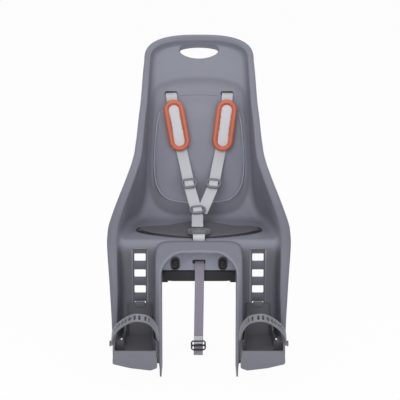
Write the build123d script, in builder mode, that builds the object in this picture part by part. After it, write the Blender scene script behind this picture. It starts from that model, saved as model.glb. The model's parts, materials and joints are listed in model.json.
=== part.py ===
# Child bike seat for a luggage carrier. Millimetres, Z up.
# The origin lies on the carrier's deck, under the middle of the base. The front of the seat faces -Y.
# Left and right are as seen from the front.
from build123d import *
from math import atan2, cos, hypot, pi, radians, sin, tan
import os

os.makedirs("parts", exist_ok=True)

# Walls, rims and clearances that the whole seat shares
WALL = 3.5
LIP = 9.0
GAP = 0.3
RUNNING = 0.05
WEBBING = 1.6
STRAP_WIDTH = 25.0

# The seat pan and the flat rear wall of the legs
PAN_TILT = 2.0
PAN_REAR = (84.0, 94.7)
LEG_TILT = 5.0
LEG_TOP = (-118.5, 78.0)


def pan_height(y):
    return PAN_REAR[1] + (PAN_REAR[0] - y) * tan(radians(PAN_TILT))


def leg_depth(z):
    return LEG_TOP[0] - (LEG_TOP[1] - z) * tan(radians(LEG_TILT))


# Stations down the shell: floor y and z, rim y and z, half width at the floor, at the rim, flange width
BACK_AND_PAN = [
    (196.2, 447.3, 176.6, 451.1, 103.5, 112.3, 13.2),
    (192.7, 429, 171, 432, 106, 113.7, 14),
    (189, 409, 162, 410, 108, 115, 14.5),
    (184.5, 384, 147, 385, 110, 116.3, 14.8),
    (180, 356, 128, 357, 112, 118, 15.2),
    (175, 325, 111, 335, 114, 120.5, 15.4),
    (169.5, 290, 95, 313, 116, 122.3, 15.7),
    (162.5, 245, 80, 291, 118.5, 124, 16.2),
    (154.5, 197, 67, 276, 121, 125, 17.2),
    (143.5, 150, 54, 262, 124, 126, 18),
    (128, 118, 46, 254, 130, 127.4, 18.5),
    (109, 100, 38, 246, 139, 129.3, 19),
    (*PAN_REAR, 29, 238, 150, 131.6, 19.2),
    (20, pan_height(20), -3, 206, 163, 143, 20.5),
    (-40, pan_height(-40), -47, 167, 166, 159, 21),
    (-86, pan_height(-86), -91, 133, 167, 171, 21.2),
    (-101, pan_height(-101) - 0.5, -108, 120, 167, 172.5, 21),
    (-112, 94, -127, 104, 166, 173, 20.6),
    (*LEG_TOP, -146, 80, 164, 171.5, 20),
]
LEG_HEIGHTS = [(LEG_TOP[1], -146, 80, 164, 171.5, 20), (43, -162, 41, 162, 170, 18),
               (3, -172, 2, 162, 169.2, 16.2), (-57, -184, -59, 163, 171, 11),
               (-106, -189, -104, 164, 172, 9)]
LEGS = [(leg_depth(z), z, *rest) for z, *rest in LEG_HEIGHTS]
SEAT_CORNER = 15.0
LEG_CORNER = 12.0

# The head of the shell, on its own tilted plane
HEAD_TILT = 11.0
HEAD_HALF = 125.5
HEAD_HEIGHT = 60.0
HEAD_CORNER = 40.0
HEAD_CROWN = 13.0
HEAD_DEPTH = 20.0
HANDLE_WIDTH = 88.0
HANDLE_HEIGHT = 32.0
HANDLE_UP = 21.0

# The arch between the legs, its two blades and the pedestal behind
ARCH_TOP = 79.5
ARCH_TOP_HALF = 51.0
ARCH_TOP_RADIUS = 50.0
TUNNEL_HALF = 78.5
TUNNEL_SHOULDER = 56.0
SHOULDER_RADIUS = 34.0
RIB = 13.0
APRON_WIDTH = 21.0
APRON_CORNER = 12.0
BLADE_FRONT = [(-112, 102), (-123, 99.5), (-135, 82), (-151, 66), (-166, 42), (-184, 0),
               (-192, -60), (-198, -120), (-200, -160)]
BLADE_TIP = (-192, -172)
WEB_FRONT = -70.0
PEDESTAL_REAR = 76.0
PEDESTAL_FOOT = 22.0
LEG_FOOT = -165.0
ARCH_REACH = 200.0

# The ladder that the footrests hook into
LEG_MIDDLE = 125.0
RECESS_WIDTH = 30.0
RECESS_DEPTH = 4.0
RECESS_TOP = 84.0
RECESS_FOOT = -104.0
HOLE_WIDTH = 24.0
HOLE_HEIGHT = 16.0
HOLE_PITCH = 34.4
TOP_HOLE = 66.8
HOLES = 4

# Harness slots in the back
SLOT_SIDE = 64.8
SLOT_UP = 374.0
BACK_AT_SLOT = 183.2
BACK_SLOPE = 0.17
CROTCH_SLOT = (-114.0, -93.0)
SLOT_WIDTH = 30.0
SLOT_HEIGHT = 10.0

# Fixing bolts of the base
BOLT_SIDE = 51.5
BOLT_UP = 39.0
BOLT_RADIUS = 3.0
BOLT_CLEARANCE = 0.2
CUP_WIDTH = 16.0
CUP_HEIGHT = 26.0
CUP_DEPTH = 8.0
BOLT_HEAD_RADIUS = 6.0
BOLT_HEAD = 4.5
NUT_RADIUS = 5.5
NUT_HEIGHT = 5.0
CUP_FLOOR = 2.5
BELT_SLOT_UP = 43.0
BELT_WIDTH = 20.0

# The base that lies on the carrier, with its clamp
BASE_HALF = 80.0
BASE_FRONT = -72.0
BASE_REAR = 78.0
BASE_WALL = 4.0
UPSTAND_HALF = 66.0
DECK_HALF = 60.0
RAIL_RELIEF = 0.5
UPSTAND_TOP = 62.0
RAIL_RADIUS = 6.5
RAIL_SIDE = 69.0
JAW_HALF_LENGTH = 22.0
JAW_OUT = 21.0
JAW_PLATE = 6.0
JAW_DROP = 18.0
SPINDLE_RADIUS = 4.0
SPINDLE_UP = 13.0
SPINDLE_HALF = 102.0
COLLAR_RADIUS = 7.5
COLLAR_WIDTH = 3.0
KNOB_RADIUS = 16.0
KNOB_START = 101.0
KNOB_WIDTH = 15.0
KNOB_LOBES = 8

# The footrests
REST_GAP = 0.8
REST_PLATE = 4.0
REST_TOP = -31.0
REST_FLOOR_REAR = (-137.0, -96.0)
REST_FLOOR_FRONT = (-228.0, -119.0)
REST_WALL = 3.5
REST_PLAN = [(97, -138, 4), (150, -138, 4), (157, -152, 6), (158, -183, 8), (178, -194, 6),
             (178, -228, 7), (86, -228, 7), (86, -210, 3), (93.5, -203, 4)]
RIM_WAY_SIDE = 160.0
RIM_WAY_FRONT = -200.0
RIM_WAY_FLOOR = -107.5
REST_SIDE = [(-240, -108, 0), (-226, -104, 8), (-208, -86, 10), (-190, -84, 12), (-165, -82, 16),
             (-146, -62, 8), (-130, -62, 0)]
REST_PLATE_WIDTH = 50.0
TONGUE_SLACK = 0.6
CATCH_WIDTH = 22.0
CATCH_HEIGHT = 12.0
CATCH_THICK = 2.5
STUD_PLACE = (-211.0, -92.0)
STUD_RADIUS = 6.0
STUD_HEIGHT = 3.0
REST_LIP = [(86, -116), (178, -116), (178, -131), (141, -140), (100, -145), (86, -140)]
FOOT_STRAP_WIDTH = 18.0
FOOT_STRAP_THICK = 3.0
FOOT_STRAP_PLACE = (0.0, -207.0, -90.0)
FOOT_STRAP_LEAN = 35.5
FOOT_STRAP_LINE = [(180.2, -4), (177, 26), (162, 58), (132, 84), (103, 78), (88, 48), (84, 14)]

# The seat pad and the shoulder pads. Half of the seat pad's outline is a bell behind and an arc in front.
PAD_HALF = [(0, 77), (16, 66), (34, 55), (47, 45), (60, 36), (72, 28), (86, 22), (108, 18.5), (125, 12),
            (134, 3), (138, -9), (137, -21), (129, -36), (110, -54), (87, -68), (60, -80), (28, -89), (0, -93)]
PAD_THICK = 6.5
PAD_EDGE = 3.5
PAD_GAP = 0.8
SHOULDER_PAD_LENGTH = 118.0
SHOULDER_PAD_WIDTH = 46.0
SHOULDER_PAD_RING = 12.0
INSERT_THICK = 5.0
INSERT_LIFT = 2.0
SHOULDER_PAD_UP = 302.0
SHOULDER_PAD_DEPTH = 167.4
SHOULDER_PAD_RUN = (7.0, 48.0)
LEFT_PAD_SIDE = -51.4
LEFT_PAD_TILT = 10.3
RIGHT_PAD_SIDE = 59.2
RIGHT_PAD_TILT = -7.2

# The adjusters and the junction of the two shoulder straps
ADJUSTER_LENGTH = 26.0
ADJUSTER_WIDTH = 34.0
ADJUSTER_THICK = 5.0
ADJUSTER_BAR = 5.0
ADJUSTER_UP = 175.0
ADJUSTER_DEPTH = 110.0
ADJUSTER_RUN = (30.0, 27.0)
LEFT_ADJUSTER_SIDE = -22.6
RIGHT_ADJUSTER_SIDE = 33.2
JUNCTION_SIDE = -3.6
JUNCTION_DEPTH = 50.0
JUNCTION_UP = 122.5
JUNCTION_RUN = (30.0, 15.0)
STRAP_STEP = 2.2

# The harness: the middle line of each strap from the front (x, z) and from the side (y, z)
STRAP_SIDE_VIEW = [(186.4, 374.5), (180, 372.5), (176, 352), (170.8, 320), (163, 272), (156, 235),
                   (139, 203), (ADJUSTER_DEPTH, ADJUSTER_UP), (80, 146.5), (JUNCTION_DEPTH, JUNCTION_UP)]
RIGHT_SIDE_VIEW = STRAP_SIDE_VIEW[:-2] + [(81.2, 144.7), (JUNCTION_DEPTH + 1.5, JUNCTION_UP - 2.7)]
LEFT_STRAP = [(-SLOT_SIDE, 376), (-61.5, 356), (LEFT_PAD_SIDE, SHOULDER_PAD_UP), (-39.8, 243), (-31.2, 208),
              (LEFT_ADJUSTER_SIDE, ADJUSTER_UP), (-13.8, 148), (JUNCTION_SIDE, 122)]
RIGHT_STRAP = [(SLOT_SIDE + 1, 376), (64.2, 356), (RIGHT_PAD_SIDE, SHOULDER_PAD_UP), (49.4, 243), (41.6, 208),
               (RIGHT_ADJUSTER_SIDE, ADJUSTER_UP), (20.6, 148), (JUNCTION_SIDE + 10, 122)]
LOWER_FRONT_VIEW = [(JUNCTION_SIDE, 140), (JUNCTION_SIDE + 0.6, 110)]
LOWER_SIDE_VIEW = [(JUNCTION_DEPTH - 1, JUNCTION_UP - 0.7), (10, 118.2), (-30, 116.8), (-50, 116.3)]
CROTCH_FRONT_VIEW = [(0, 130), (0.01, 80)]
CROTCH_SIDE_VIEW = [(-95.6, 110.6), (-101, 110), (-104.8, 105), (-103.4, 97.6), (-98.8, 92.3)]
BELT_LINE = [(1.4, 60), (1.2, 0), (-1.8, -175)]
BELT_SIDE_VIEW = [(-67, 43.2), (-73, 42.6), (-77.6, 37), (-79.5, 18), (-84, -60), (-90, -163)]

# The crotch buckle: half of its outline from the rear to the front, its button and its tongue
BUCKLE_Y = -80.0
BUCKLE_LENGTH = 30.0
BUCKLE_THICK = 10.5
BUCKLE_FLOOR = 2.5
BUCKLE_EDGE = 2.0
BUCKLE_HALF = [(13, BUCKLE_LENGTH / 2, 4), (19, 10, 4), (24.5, 5, 4), (24.5, -6, 4), (18, -10, 4),
               (14, -BUCKLE_LENGTH / 2, 3)]
BUTTON_RADIUS = 8.0
BUTTON_TRAVEL = 3.0
BUTTON_PROUD = 0.4
TONGUE_LIFT = 3.2
TONGUE_THICK = 3.0
TONGUE_WIDTH = 32.0
TONGUE_LENGTH = 14.0

# The small pieces: anchor and keepers of the straps, and the lock on the safety strap
ANCHOR_WIDTH = 36.0
ANCHOR_DEPTH = 7.0
ANCHOR_TOP = 91.2
KEEPER_MARGIN = 12.0
KEEPER_THICK = 4.0
BELT_KEEPER_MARGIN = 14.0
BELT_KEEPER_HEIGHT = 15.0
BELT_KEEPER_THICK = 3.0
LOCK_PLACE = (-1.3, -88.4, -140.0)
LOCK_RUN = (6.0, 103.0)
LOCK_WIDTH = 33.0
LOCK_HEIGHT = 22.0
LOCK_BAR = 4.0


def rounded(corners):
    """Draws the closed outline through corners of (across, up, radius)."""
    ends = []
    for i, (x, y, radius) in enumerate(corners):
        here = Vector(x, y)
        back = (Vector(*corners[i - 1][:2]) - here).normalized()
        ahead = (Vector(*corners[(i + 1) % len(corners)][:2]) - here).normalized()
        if radius == 0:
            ends.append((here, None, here))
            continue
        half = radians(back.get_angle(ahead)) / 2
        inward = (back + ahead).normalized()
        reach = radius / tan(half)
        middle = here + inward * (radius / sin(half) - radius)
        ends.append((here + back * reach, middle, here + ahead * reach))
    for i, (start, middle, end) in enumerate(ends):
        if middle is not None:
            ThreePointArc(start, middle, end)
        Line(end, ends[(i + 1) % len(ends)][0])


def station_plane(station):
    """The plane across the shell that holds the floor point and the rim point."""
    floor_y, floor_z, rim_y, rim_z = station[:4]
    depth = hypot(rim_y - floor_y, rim_z - floor_z)
    up = Vector(0, (rim_y - floor_y) / depth, (rim_z - floor_z) / depth)
    normal = Vector(1, 0, 0).cross(up)
    return Plane(origin=(0, floor_y, floor_z), x_dir=(1, 0, 0), z_dir=normal), depth


def station_corners(station, depth, corner):
    """The U of one station: floor, walls, flange and the lip turned back from it."""
    floor, rim, flange = station[4:]
    outside = rim + flange
    corner = min(corner, depth / 2)
    edge = min(4.0, flange / 3)
    front = [(outside, depth - LIP, 0), (outside, depth, edge), (rim, depth, 3), (floor, 0, corner)]
    rear = [(floor + WALL, -WALL, corner + WALL), (rim + WALL, depth - WALL, 0.8),
            (outside - WALL, depth - WALL, 0.8), (outside - WALL, depth - LIP, 0)]
    front_left = [(-x, y, radius) for x, y, radius in reversed(front)]
    rear_left = [(-x, y, radius) for x, y, radius in reversed(rear)]
    return front + front_left + rear_left + rear


def leg_plane(z, forward=0.0, side=0.0):
    """A plane in the leg's rear wall, facing forward, with its own Y running up the wall."""
    normal = Vector(0, -cos(radians(LEG_TILT)), sin(radians(LEG_TILT)))
    origin = Vector(side, leg_depth(z), z) + normal * forward
    return Plane(origin=origin, x_dir=(1, 0, 0), z_dir=normal)


def front_plane(y):
    """The upright plane at y that faces forward, with X to the right and Z up."""
    return Plane(origin=(0, y, 0), x_dir=(1, 0, 0), z_dir=(0, -1, 0))


def arch_corners(grow=0.0, foot=-210.0):
    """The arch seen from the front, grown evenly outwards."""
    shoulder_turn = atan2(TUNNEL_HALF - ARCH_TOP_HALF, ARCH_TOP - TUNNEL_SHOULDER)
    side = TUNNEL_HALF + grow
    shoulder = TUNNEL_SHOULDER + grow * tan(shoulder_turn / 2)
    top = ARCH_TOP_HALF + grow * tan((pi / 2 - shoulder_turn) / 2)
    half = [(top, ARCH_TOP + grow, ARCH_TOP_RADIUS + grow), (side, shoulder, SHOULDER_RADIUS + grow),
            (side, foot, 0)]
    return [(-x, z, radius) for x, z, radius in reversed(half)] + half


def arch_band(outer, above, inner):
    """The front of the apron and the blades: square outside, with the grown arch cut out."""
    side = TUNNEL_HALF + outer
    top = ARCH_TOP + above
    with BuildSketch(front_plane(WEB_FRONT)) as band:
        with BuildLine():
            rounded([(-side, -210, 0), (-side, top, APRON_CORNER), (side, top, APRON_CORNER),
                     (side, -210, 0)])
        make_face()
        with BuildLine():
            rounded(arch_corners(inner, foot=-220.0))
        make_face(mode=Mode.SUBTRACT)
    return band.sketch


def tunnel_band():
    """The wall of the tunnel behind the arch."""
    with BuildSketch(front_plane(WEB_FRONT)) as band:
        with BuildLine():
            rounded(arch_corners(WALL))
        make_face()
        with BuildLine():
            rounded(arch_corners(foot=-220.0))
        make_face(mode=Mode.SUBTRACT)
    return band.sketch


def head_outline(offset, inset, radius):
    """The rounded top of the back, drawn at one depth and set in from the outside."""
    half = HEAD_HALF - inset
    shoulder = HEAD_HEIGHT - inset - HEAD_CROWN
    with BuildSketch(head_floor.offset(offset)) as outline:
        with BuildLine():
            Polyline((-half + 2, shoulder), (-half, 0), (half, 0), (half - 2, shoulder))
            ThreePointArc((half - 2, shoulder), (0, HEAD_HEIGHT - inset), (-half + 2, shoulder))
        make_face()
        fillet(outline.vertices().sort_by(Axis.Y)[-2:], radius)
    return outline.sketch


# The rib round the arch, cut to the blade's side view
with BuildPart() as rib:
    extrude(arch_band(RIB, APRON_WIDTH, 0), amount=ARCH_REACH)
    with BuildSketch(Plane.YZ) as blade_view:
        with BuildLine():
            Spline(*BLADE_FRONT)
            Polyline(BLADE_FRONT[-1], BLADE_TIP, (leg_depth(LEG_FOOT) + 2, LEG_FOOT),
                     (leg_depth(60), 60), (-104, 90), (-101, 100), BLADE_FRONT[0])
        make_face()
    extrude(amount=ARCH_REACH, both=True, mode=Mode.INTERSECT)

# The rib's hollow, open from behind
hollow_front = [(y + WALL, z - WALL / 3) for y, z in BLADE_FRONT]
with BuildPart() as rib_hollow:
    extrude(arch_band(RIB - WALL, APRON_WIDTH - WALL, WALL), amount=ARCH_REACH)
    with BuildSketch(Plane.YZ) as hollow_view:
        with BuildLine():
            Spline(*hollow_front)
            Polyline(hollow_front[-1], (leg_depth(-160) - 10, -160), (leg_depth(-160) + 9, -160),
                     (leg_depth(80) + 9, 80), hollow_front[0])
        make_face()
    extrude(amount=ARCH_REACH, both=True, mode=Mode.INTERSECT)

# The tunnel's walls and ceiling, back to the web plate
with BuildPart() as tunnel:
    extrude(tunnel_band(), amount=ARCH_REACH)
    with BuildSketch(Plane.YZ) as tunnel_view:
        with BuildLine():
            Polyline((-124, 90), (-150, 40), (-160, -60), (leg_depth(LEG_FOOT) - 20, LEG_FOOT),
                     (leg_depth(LEG_FOOT) + 2, LEG_FOOT), (leg_depth(-60) + 14, -60),
                     (WEB_FRONT, 12), (WEB_FRONT, 90), close=True)
        make_face()
    extrude(amount=ARCH_REACH, both=True, mode=Mode.INTERSECT)

# The head of the shell: a tapered cup with its flange, hollow behind the flange
flange = BACK_AND_PAN[0][6]
floor_inset = HEAD_HALF - BACK_AND_PAN[0][4]
head_floor = Plane(origin=(0, *BACK_AND_PAN[0][:2]), x_dir=(1, 0, 0),
                   z_dir=(0, -cos(radians(HEAD_TILT)), sin(radians(HEAD_TILT))))
with BuildPart() as head_block:
    loft([head_outline(-WALL, floor_inset - WALL, HEAD_CORNER - 14),
          head_outline(HEAD_DEPTH, flange - WALL, HEAD_CORNER - 9)])
with BuildPart() as behind_flange:
    extrude(head_outline(HEAD_DEPTH - LIP, WALL, HEAD_CORNER - WALL), amount=LIP - WALL)
    add(head_block.part, mode=Mode.SUBTRACT)
with BuildPart() as head:
    extrude(head_outline(HEAD_DEPTH - LIP, 0, HEAD_CORNER), amount=LIP)
    add(behind_flange.part, mode=Mode.SUBTRACT)
    add(head_block.part)
    loft([head_outline(0, floor_inset, HEAD_CORNER - 18),
          head_outline(HEAD_DEPTH, flange, HEAD_CORNER - 12)], mode=Mode.SUBTRACT)


def shell_loft(stations, corners):
    """The shell's wall through its stations, one U-shaped section on each."""
    sections = []
    for station, corner in zip(stations, corners):
        plane, depth = station_plane(station)
        with BuildSketch(plane) as section:
            with BuildLine():
                rounded(station_corners(station, depth, corner))
            make_face()
        sections.append(section.sketch)
    return loft(sections)


# The seat shell: one moulding
corners = [SEAT_CORNER] * (len(BACK_AND_PAN) - 2) + [SEAT_CORNER * 0.7, LEG_CORNER]
with BuildPart() as seat_shell:
    shell_loft(BACK_AND_PAN, corners)
    shell_loft(LEGS, [LEG_CORNER] * len(LEGS))
    # The legs' rear wall runs on below the rims, down to the blades
    with BuildSketch(leg_plane(LEGS[-1][1])) as leg_foot:
        for sign in (-1, 1):
            with BuildLine():
                Polyline((sign * 152, 2), (sign * 150, -14), (sign * 110, -LEGS[-1][1] + LEG_FOOT),
                         (sign * 80, -LEGS[-1][1] + LEG_FOOT), (sign * 80, 2), close=True)
            make_face()
    extrude(amount=-WALL)
    # The thicker strip behind each ladder
    for sign in (-1, 1):
        with BuildSketch(leg_plane(0, side=sign * LEG_MIDDLE)) as ladder_back:
            with Locations((0, (RECESS_TOP + RECESS_FOOT) / 2)):
                Rectangle(RECESS_WIDTH + 2 * WALL, RECESS_TOP - RECESS_FOOT - 14)
        extrude(amount=-(RECESS_DEPTH + WALL))
    # The arch cuts the legs apart
    with BuildSketch(front_plane(WEB_FRONT)) as arch_opening:
        with BuildLine():
            rounded(arch_corners())
        make_face()
    extrude(amount=ARCH_REACH, mode=Mode.SUBTRACT)
    add(rib.part)
    add(rib_hollow.part, mode=Mode.SUBTRACT)
    add(tunnel.part)
    # The web plate and the pedestal's walls
    with BuildSketch(Plane.XY.offset(PEDESTAL_FOOT)) as pedestal:
        with Locations((0, (WEB_FRONT + PEDESTAL_REAR) / 2)):
            Rectangle(2 * (TUNNEL_HALF + WALL), PEDESTAL_REAR - WEB_FRONT)
            Rectangle(2 * TUNNEL_HALF, PEDESTAL_REAR - WEB_FRONT - 2 * WALL, mode=Mode.SUBTRACT)
    extrude(amount=PAN_REAR[1] - PEDESTAL_FOOT - WALL / 2)
    add(head.part)
    # Cups for the front bolts, open to the front
    with BuildSketch(front_plane(WEB_FRONT + CUP_DEPTH + CUP_FLOOR)) as cup_outside:
        with Locations((-BOLT_SIDE, BOLT_UP), (BOLT_SIDE, BOLT_UP)):
            SlotOverall(CUP_HEIGHT + 2 * CUP_FLOOR, CUP_WIDTH + 2 * CUP_FLOOR, rotation=90)
    extrude(amount=CUP_DEPTH + CUP_FLOOR)
    with BuildSketch(front_plane(WEB_FRONT + CUP_DEPTH)) as cup_inside:
        with Locations((-BOLT_SIDE, BOLT_UP), (BOLT_SIDE, BOLT_UP)):
            SlotOverall(CUP_HEIGHT, CUP_WIDTH, rotation=90)
    extrude(amount=CUP_DEPTH + 1, mode=Mode.SUBTRACT)
    # Bolt holes through the cups and the rear wall, and the safety belt's slot
    with BuildSketch(front_plane(PEDESTAL_REAR + 1)) as bolt_holes:
        with Locations((-BOLT_SIDE, BOLT_UP), (BOLT_SIDE, BOLT_UP)):
            Circle(BOLT_RADIUS + BOLT_CLEARANCE)
    extrude(amount=PEDESTAL_REAR - WEB_FRONT, mode=Mode.SUBTRACT)
    with BuildSketch(front_plane(WEB_FRONT + WALL + 1)) as belt_slot:
        with Locations((0, BELT_SLOT_UP)):
            SlotOverall(BELT_WIDTH + 8, 9)
    extrude(amount=WALL + 2, mode=Mode.SUBTRACT)
    # The ladders: a recess in each leg with its holes
    for sign in (-1, 1):
        ladder = leg_plane(0, side=sign * LEG_MIDDLE)
        with BuildSketch(ladder.offset(-RECESS_DEPTH)) as recess:
            with Locations((0, (RECESS_TOP + RECESS_FOOT) / 2)):
                RectangleRounded(RECESS_WIDTH, RECESS_TOP - RECESS_FOOT, 3)
        extrude(amount=RECESS_DEPTH + 5, mode=Mode.SUBTRACT)
        with BuildSketch(ladder.offset(-RECESS_DEPTH - WALL - 1)) as ladder_holes:
            with Locations(*[(0, TOP_HOLE - i * HOLE_PITCH) for i in range(HOLES)]):
                RectangleRounded(HOLE_WIDTH, HOLE_HEIGHT, 2)
        extrude(amount=WALL + 2, mode=Mode.SUBTRACT)
    # Handle hole, harness slots and the slot of the crotch strap
    with BuildSketch(head_floor.offset(-WALL - 1)) as handle:
        with Locations((0, HANDLE_UP)):
            RectangleRounded(HANDLE_WIDTH, HANDLE_HEIGHT, HANDLE_HEIGHT * 0.45)
    extrude(amount=WALL + 6, mode=Mode.SUBTRACT)
    with BuildSketch(front_plane(BACK_AT_SLOT + 20)) as harness_slots:
        with Locations((-SLOT_SIDE, SLOT_UP), (SLOT_SIDE, SLOT_UP)):
            SlotOverall(SLOT_WIDTH, SLOT_HEIGHT)
    extrude(amount=40, mode=Mode.SUBTRACT)
    with BuildSketch(Plane.XY.offset(88)) as crotch_slot:
        with Locations((0, sum(CROTCH_SLOT) / 2)):
            Rectangle(STRAP_WIDTH + 4, CROTCH_SLOT[1] - CROTCH_SLOT[0])
    extrude(amount=20, mode=Mode.SUBTRACT)
seat_shell.part.label = "seat_shell"
export_step(seat_shell.part, "parts/seat_shell.step")

# The base on the carrier
with BuildPart() as carrier_base:
    with BuildSketch(Plane.XY) as base_outline:
        with Locations((0, (BASE_FRONT + BASE_REAR) / 2)):
            RectangleRounded(2 * BASE_HALF, BASE_REAR - BASE_FRONT, 6)
    extrude(amount=PEDESTAL_FOOT)
    with BuildSketch(Plane.XY.offset(BASE_WALL)) as base_hollow:
        with Locations((0, (BASE_FRONT + BASE_REAR) / 2)):
            RectangleRounded(2 * (BASE_HALF - BASE_WALL), BASE_REAR - BASE_FRONT - 2 * BASE_WALL, 3)
    extrude(amount=PEDESTAL_FOOT, mode=Mode.SUBTRACT)
    # The underside is relieved where the rails run, so only its middle lies on the deck
    with BuildSketch(Plane.XY) as rail_relief:
        with Locations((0, (BASE_FRONT + BASE_REAR) / 2)):
            Rectangle(2 * BASE_HALF + 2, BASE_REAR - BASE_FRONT + 2)
            Rectangle(2 * DECK_HALF, BASE_REAR - BASE_FRONT + 2, mode=Mode.SUBTRACT)
    extrude(amount=RAIL_RELIEF, mode=Mode.SUBTRACT)
    upstands = (WEB_FRONT + CUP_DEPTH + CUP_FLOOR + GAP, PEDESTAL_REAR - WALL - GAP - BASE_WALL)
    for rear_face in upstands:
        with BuildSketch(front_plane(rear_face + BASE_WALL)) as upstand:
            with Locations((0, (BASE_WALL + UPSTAND_TOP) / 2)):
                RectangleRounded(2 * UPSTAND_HALF, UPSTAND_TOP - BASE_WALL, 1)
            with Locations((0, BASE_WALL + 2)):
                Rectangle(2 * UPSTAND_HALF, 6)
        extrude(amount=BASE_WALL)
    with BuildSketch(front_plane(PEDESTAL_REAR)) as base_holes:
        with Locations((-BOLT_SIDE, BOLT_UP), (BOLT_SIDE, BOLT_UP)):
            Circle(BOLT_RADIUS + BOLT_CLEARANCE)
    extrude(amount=PEDESTAL_REAR - WEB_FRONT, mode=Mode.SUBTRACT)
    with BuildSketch(Plane.YZ.offset(-BASE_HALF - 1)) as spindle_bore:
        with Locations((0, SPINDLE_UP)):
            Circle(SPINDLE_RADIUS + RUNNING)
    extrude(amount=2 * BASE_HALF + 2, mode=Mode.SUBTRACT)
carrier_base.part.label = "carrier_base"
export_step(carrier_base.part, "parts/carrier_base.step")

# The jaws that grip the carrier's rails from outside
for side, sign in (("left", -1), ("right", 1)):
    with BuildPart() as jaw:
        with BuildSketch(Plane.XZ.offset(-JAW_HALF_LENGTH)) as jaw_section:
            with BuildLine():
                Polyline((sign * RAIL_SIDE, -JAW_DROP), (sign * (RAIL_SIDE + JAW_OUT - 4), -JAW_DROP),
                         (sign * (RAIL_SIDE + JAW_OUT), -JAW_DROP + 4),
                         (sign * (RAIL_SIDE + JAW_OUT), PEDESTAL_FOOT - 1),
                         (sign * (RAIL_SIDE + JAW_OUT - JAW_PLATE), PEDESTAL_FOOT - 1),
                         (sign * (RAIL_SIDE + JAW_OUT - JAW_PLATE), -GAP), (sign * RAIL_SIDE, -GAP),
                         close=True)
            make_face()
            with Locations((sign * RAIL_SIDE, -RAIL_RADIUS)):
                Circle(RAIL_RADIUS, mode=Mode.SUBTRACT)
        extrude(amount=2 * JAW_HALF_LENGTH)
        with BuildSketch(Plane.YZ) as jaw_bore:
            with Locations((0, SPINDLE_UP)):
                Circle(SPINDLE_RADIUS + RUNNING)
        extrude(amount=sign * SPINDLE_HALF, mode=Mode.SUBTRACT)
    jaw.part.label = f"{side}_jaw"
    export_step(jaw.part, f"parts/{side}_jaw.step")

# The spindle with a left-hand and a right-hand thread, its collars and its knob
with BuildPart() as clamp_spindle:
    with BuildSketch(Plane.YZ.offset(-SPINDLE_HALF)) as spindle_section:
        with Locations((0, SPINDLE_UP)):
            Circle(SPINDLE_RADIUS)
    extrude(amount=SPINDLE_HALF + KNOB_START)
clamp_spindle.part.label = "clamp_spindle"
export_step(clamp_spindle.part, "parts/clamp_spindle.step")

with BuildPart() as spindle_collars:
    inside = BASE_HALF - BASE_WALL - GAP
    for start in (-inside, inside - COLLAR_WIDTH):
        with BuildSketch(Plane.YZ.offset(start)) as collar:
            with Locations((0, SPINDLE_UP)):
                Circle(COLLAR_RADIUS)
                Circle(SPINDLE_RADIUS, mode=Mode.SUBTRACT)
        extrude(amount=COLLAR_WIDTH)
spindle_collars.part.label = "spindle_collars"
export_step(spindle_collars.part, "parts/spindle_collars.step")

with BuildPart() as clamp_knob:
    with BuildSketch(Plane.YZ.offset(KNOB_START)) as knob_outline:
        with Locations((0, SPINDLE_UP)):
            Circle(KNOB_RADIUS)
            with PolarLocations(KNOB_RADIUS + 2.5, KNOB_LOBES):
                Circle(4.5, mode=Mode.SUBTRACT)
    extrude(amount=KNOB_WIDTH)
    fillet(clamp_knob.faces().sort_by(Axis.X)[-1].edges(), 1.5)
clamp_knob.part.label = "clamp_knob"
export_step(clamp_knob.part, "parts/clamp_knob.step")

# Bolts and nuts between the seat and the base
front_head = WEB_FRONT + CUP_DEPTH
rear_head = PEDESTAL_REAR
for end, head_face, way, nut_face in (("front", front_head, 1, upstands[0] + BASE_WALL),
                                      ("rear", rear_head, -1, upstands[1])):
    with BuildPart() as bolts:
        for x in (-BOLT_SIDE, BOLT_SIDE):
            with BuildSketch(front_plane(head_face)) as bolt_head:
                with Locations((x, BOLT_UP)):
                    Circle(BOLT_HEAD_RADIUS)
            extrude(amount=way * BOLT_HEAD)
            with BuildSketch(front_plane(head_face)) as shank:
                with Locations((x, BOLT_UP)):
                    Circle(BOLT_RADIUS)
            extrude(amount=-way * (abs(nut_face - head_face) + NUT_HEIGHT))
    bolts.part.label = f"{end}_bolts"
    export_step(bolts.part, f"parts/{end}_bolts.step")
    with BuildPart() as nuts:
        with BuildSketch(front_plane(nut_face)) as nut:
            with Locations((-BOLT_SIDE, BOLT_UP), (BOLT_SIDE, BOLT_UP)):
                RegularPolygon(NUT_RADIUS, 6)
                Circle(BOLT_RADIUS, mode=Mode.SUBTRACT)
        extrude(amount=-way * NUT_HEIGHT)
    nuts.part.label = f"{end}_nuts"
    export_step(nuts.part, f"parts/{end}_nuts.step")

# The footrests, each a cup for the shoe with a tongue in the ladder's recess
rest_slope = (REST_FLOOR_REAR[1] - REST_FLOOR_FRONT[1]) / (REST_FLOOR_REAR[0] - REST_FLOOR_FRONT[0])


def rest_floor(y):
    return REST_FLOOR_REAR[1] + (y - REST_FLOOR_REAR[0]) * rest_slope


def rest_outline(sign, inset):
    """The plan of a footrest, set in from its outside."""
    with BuildSketch(Plane.XY.offset(-180)) as outline:
        with BuildLine():
            rounded([(sign * x, y, radius) for x, y, radius in REST_PLAN])
        make_face()
        if inset:
            offset(amount=-inset)
    return outline.sketch


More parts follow.
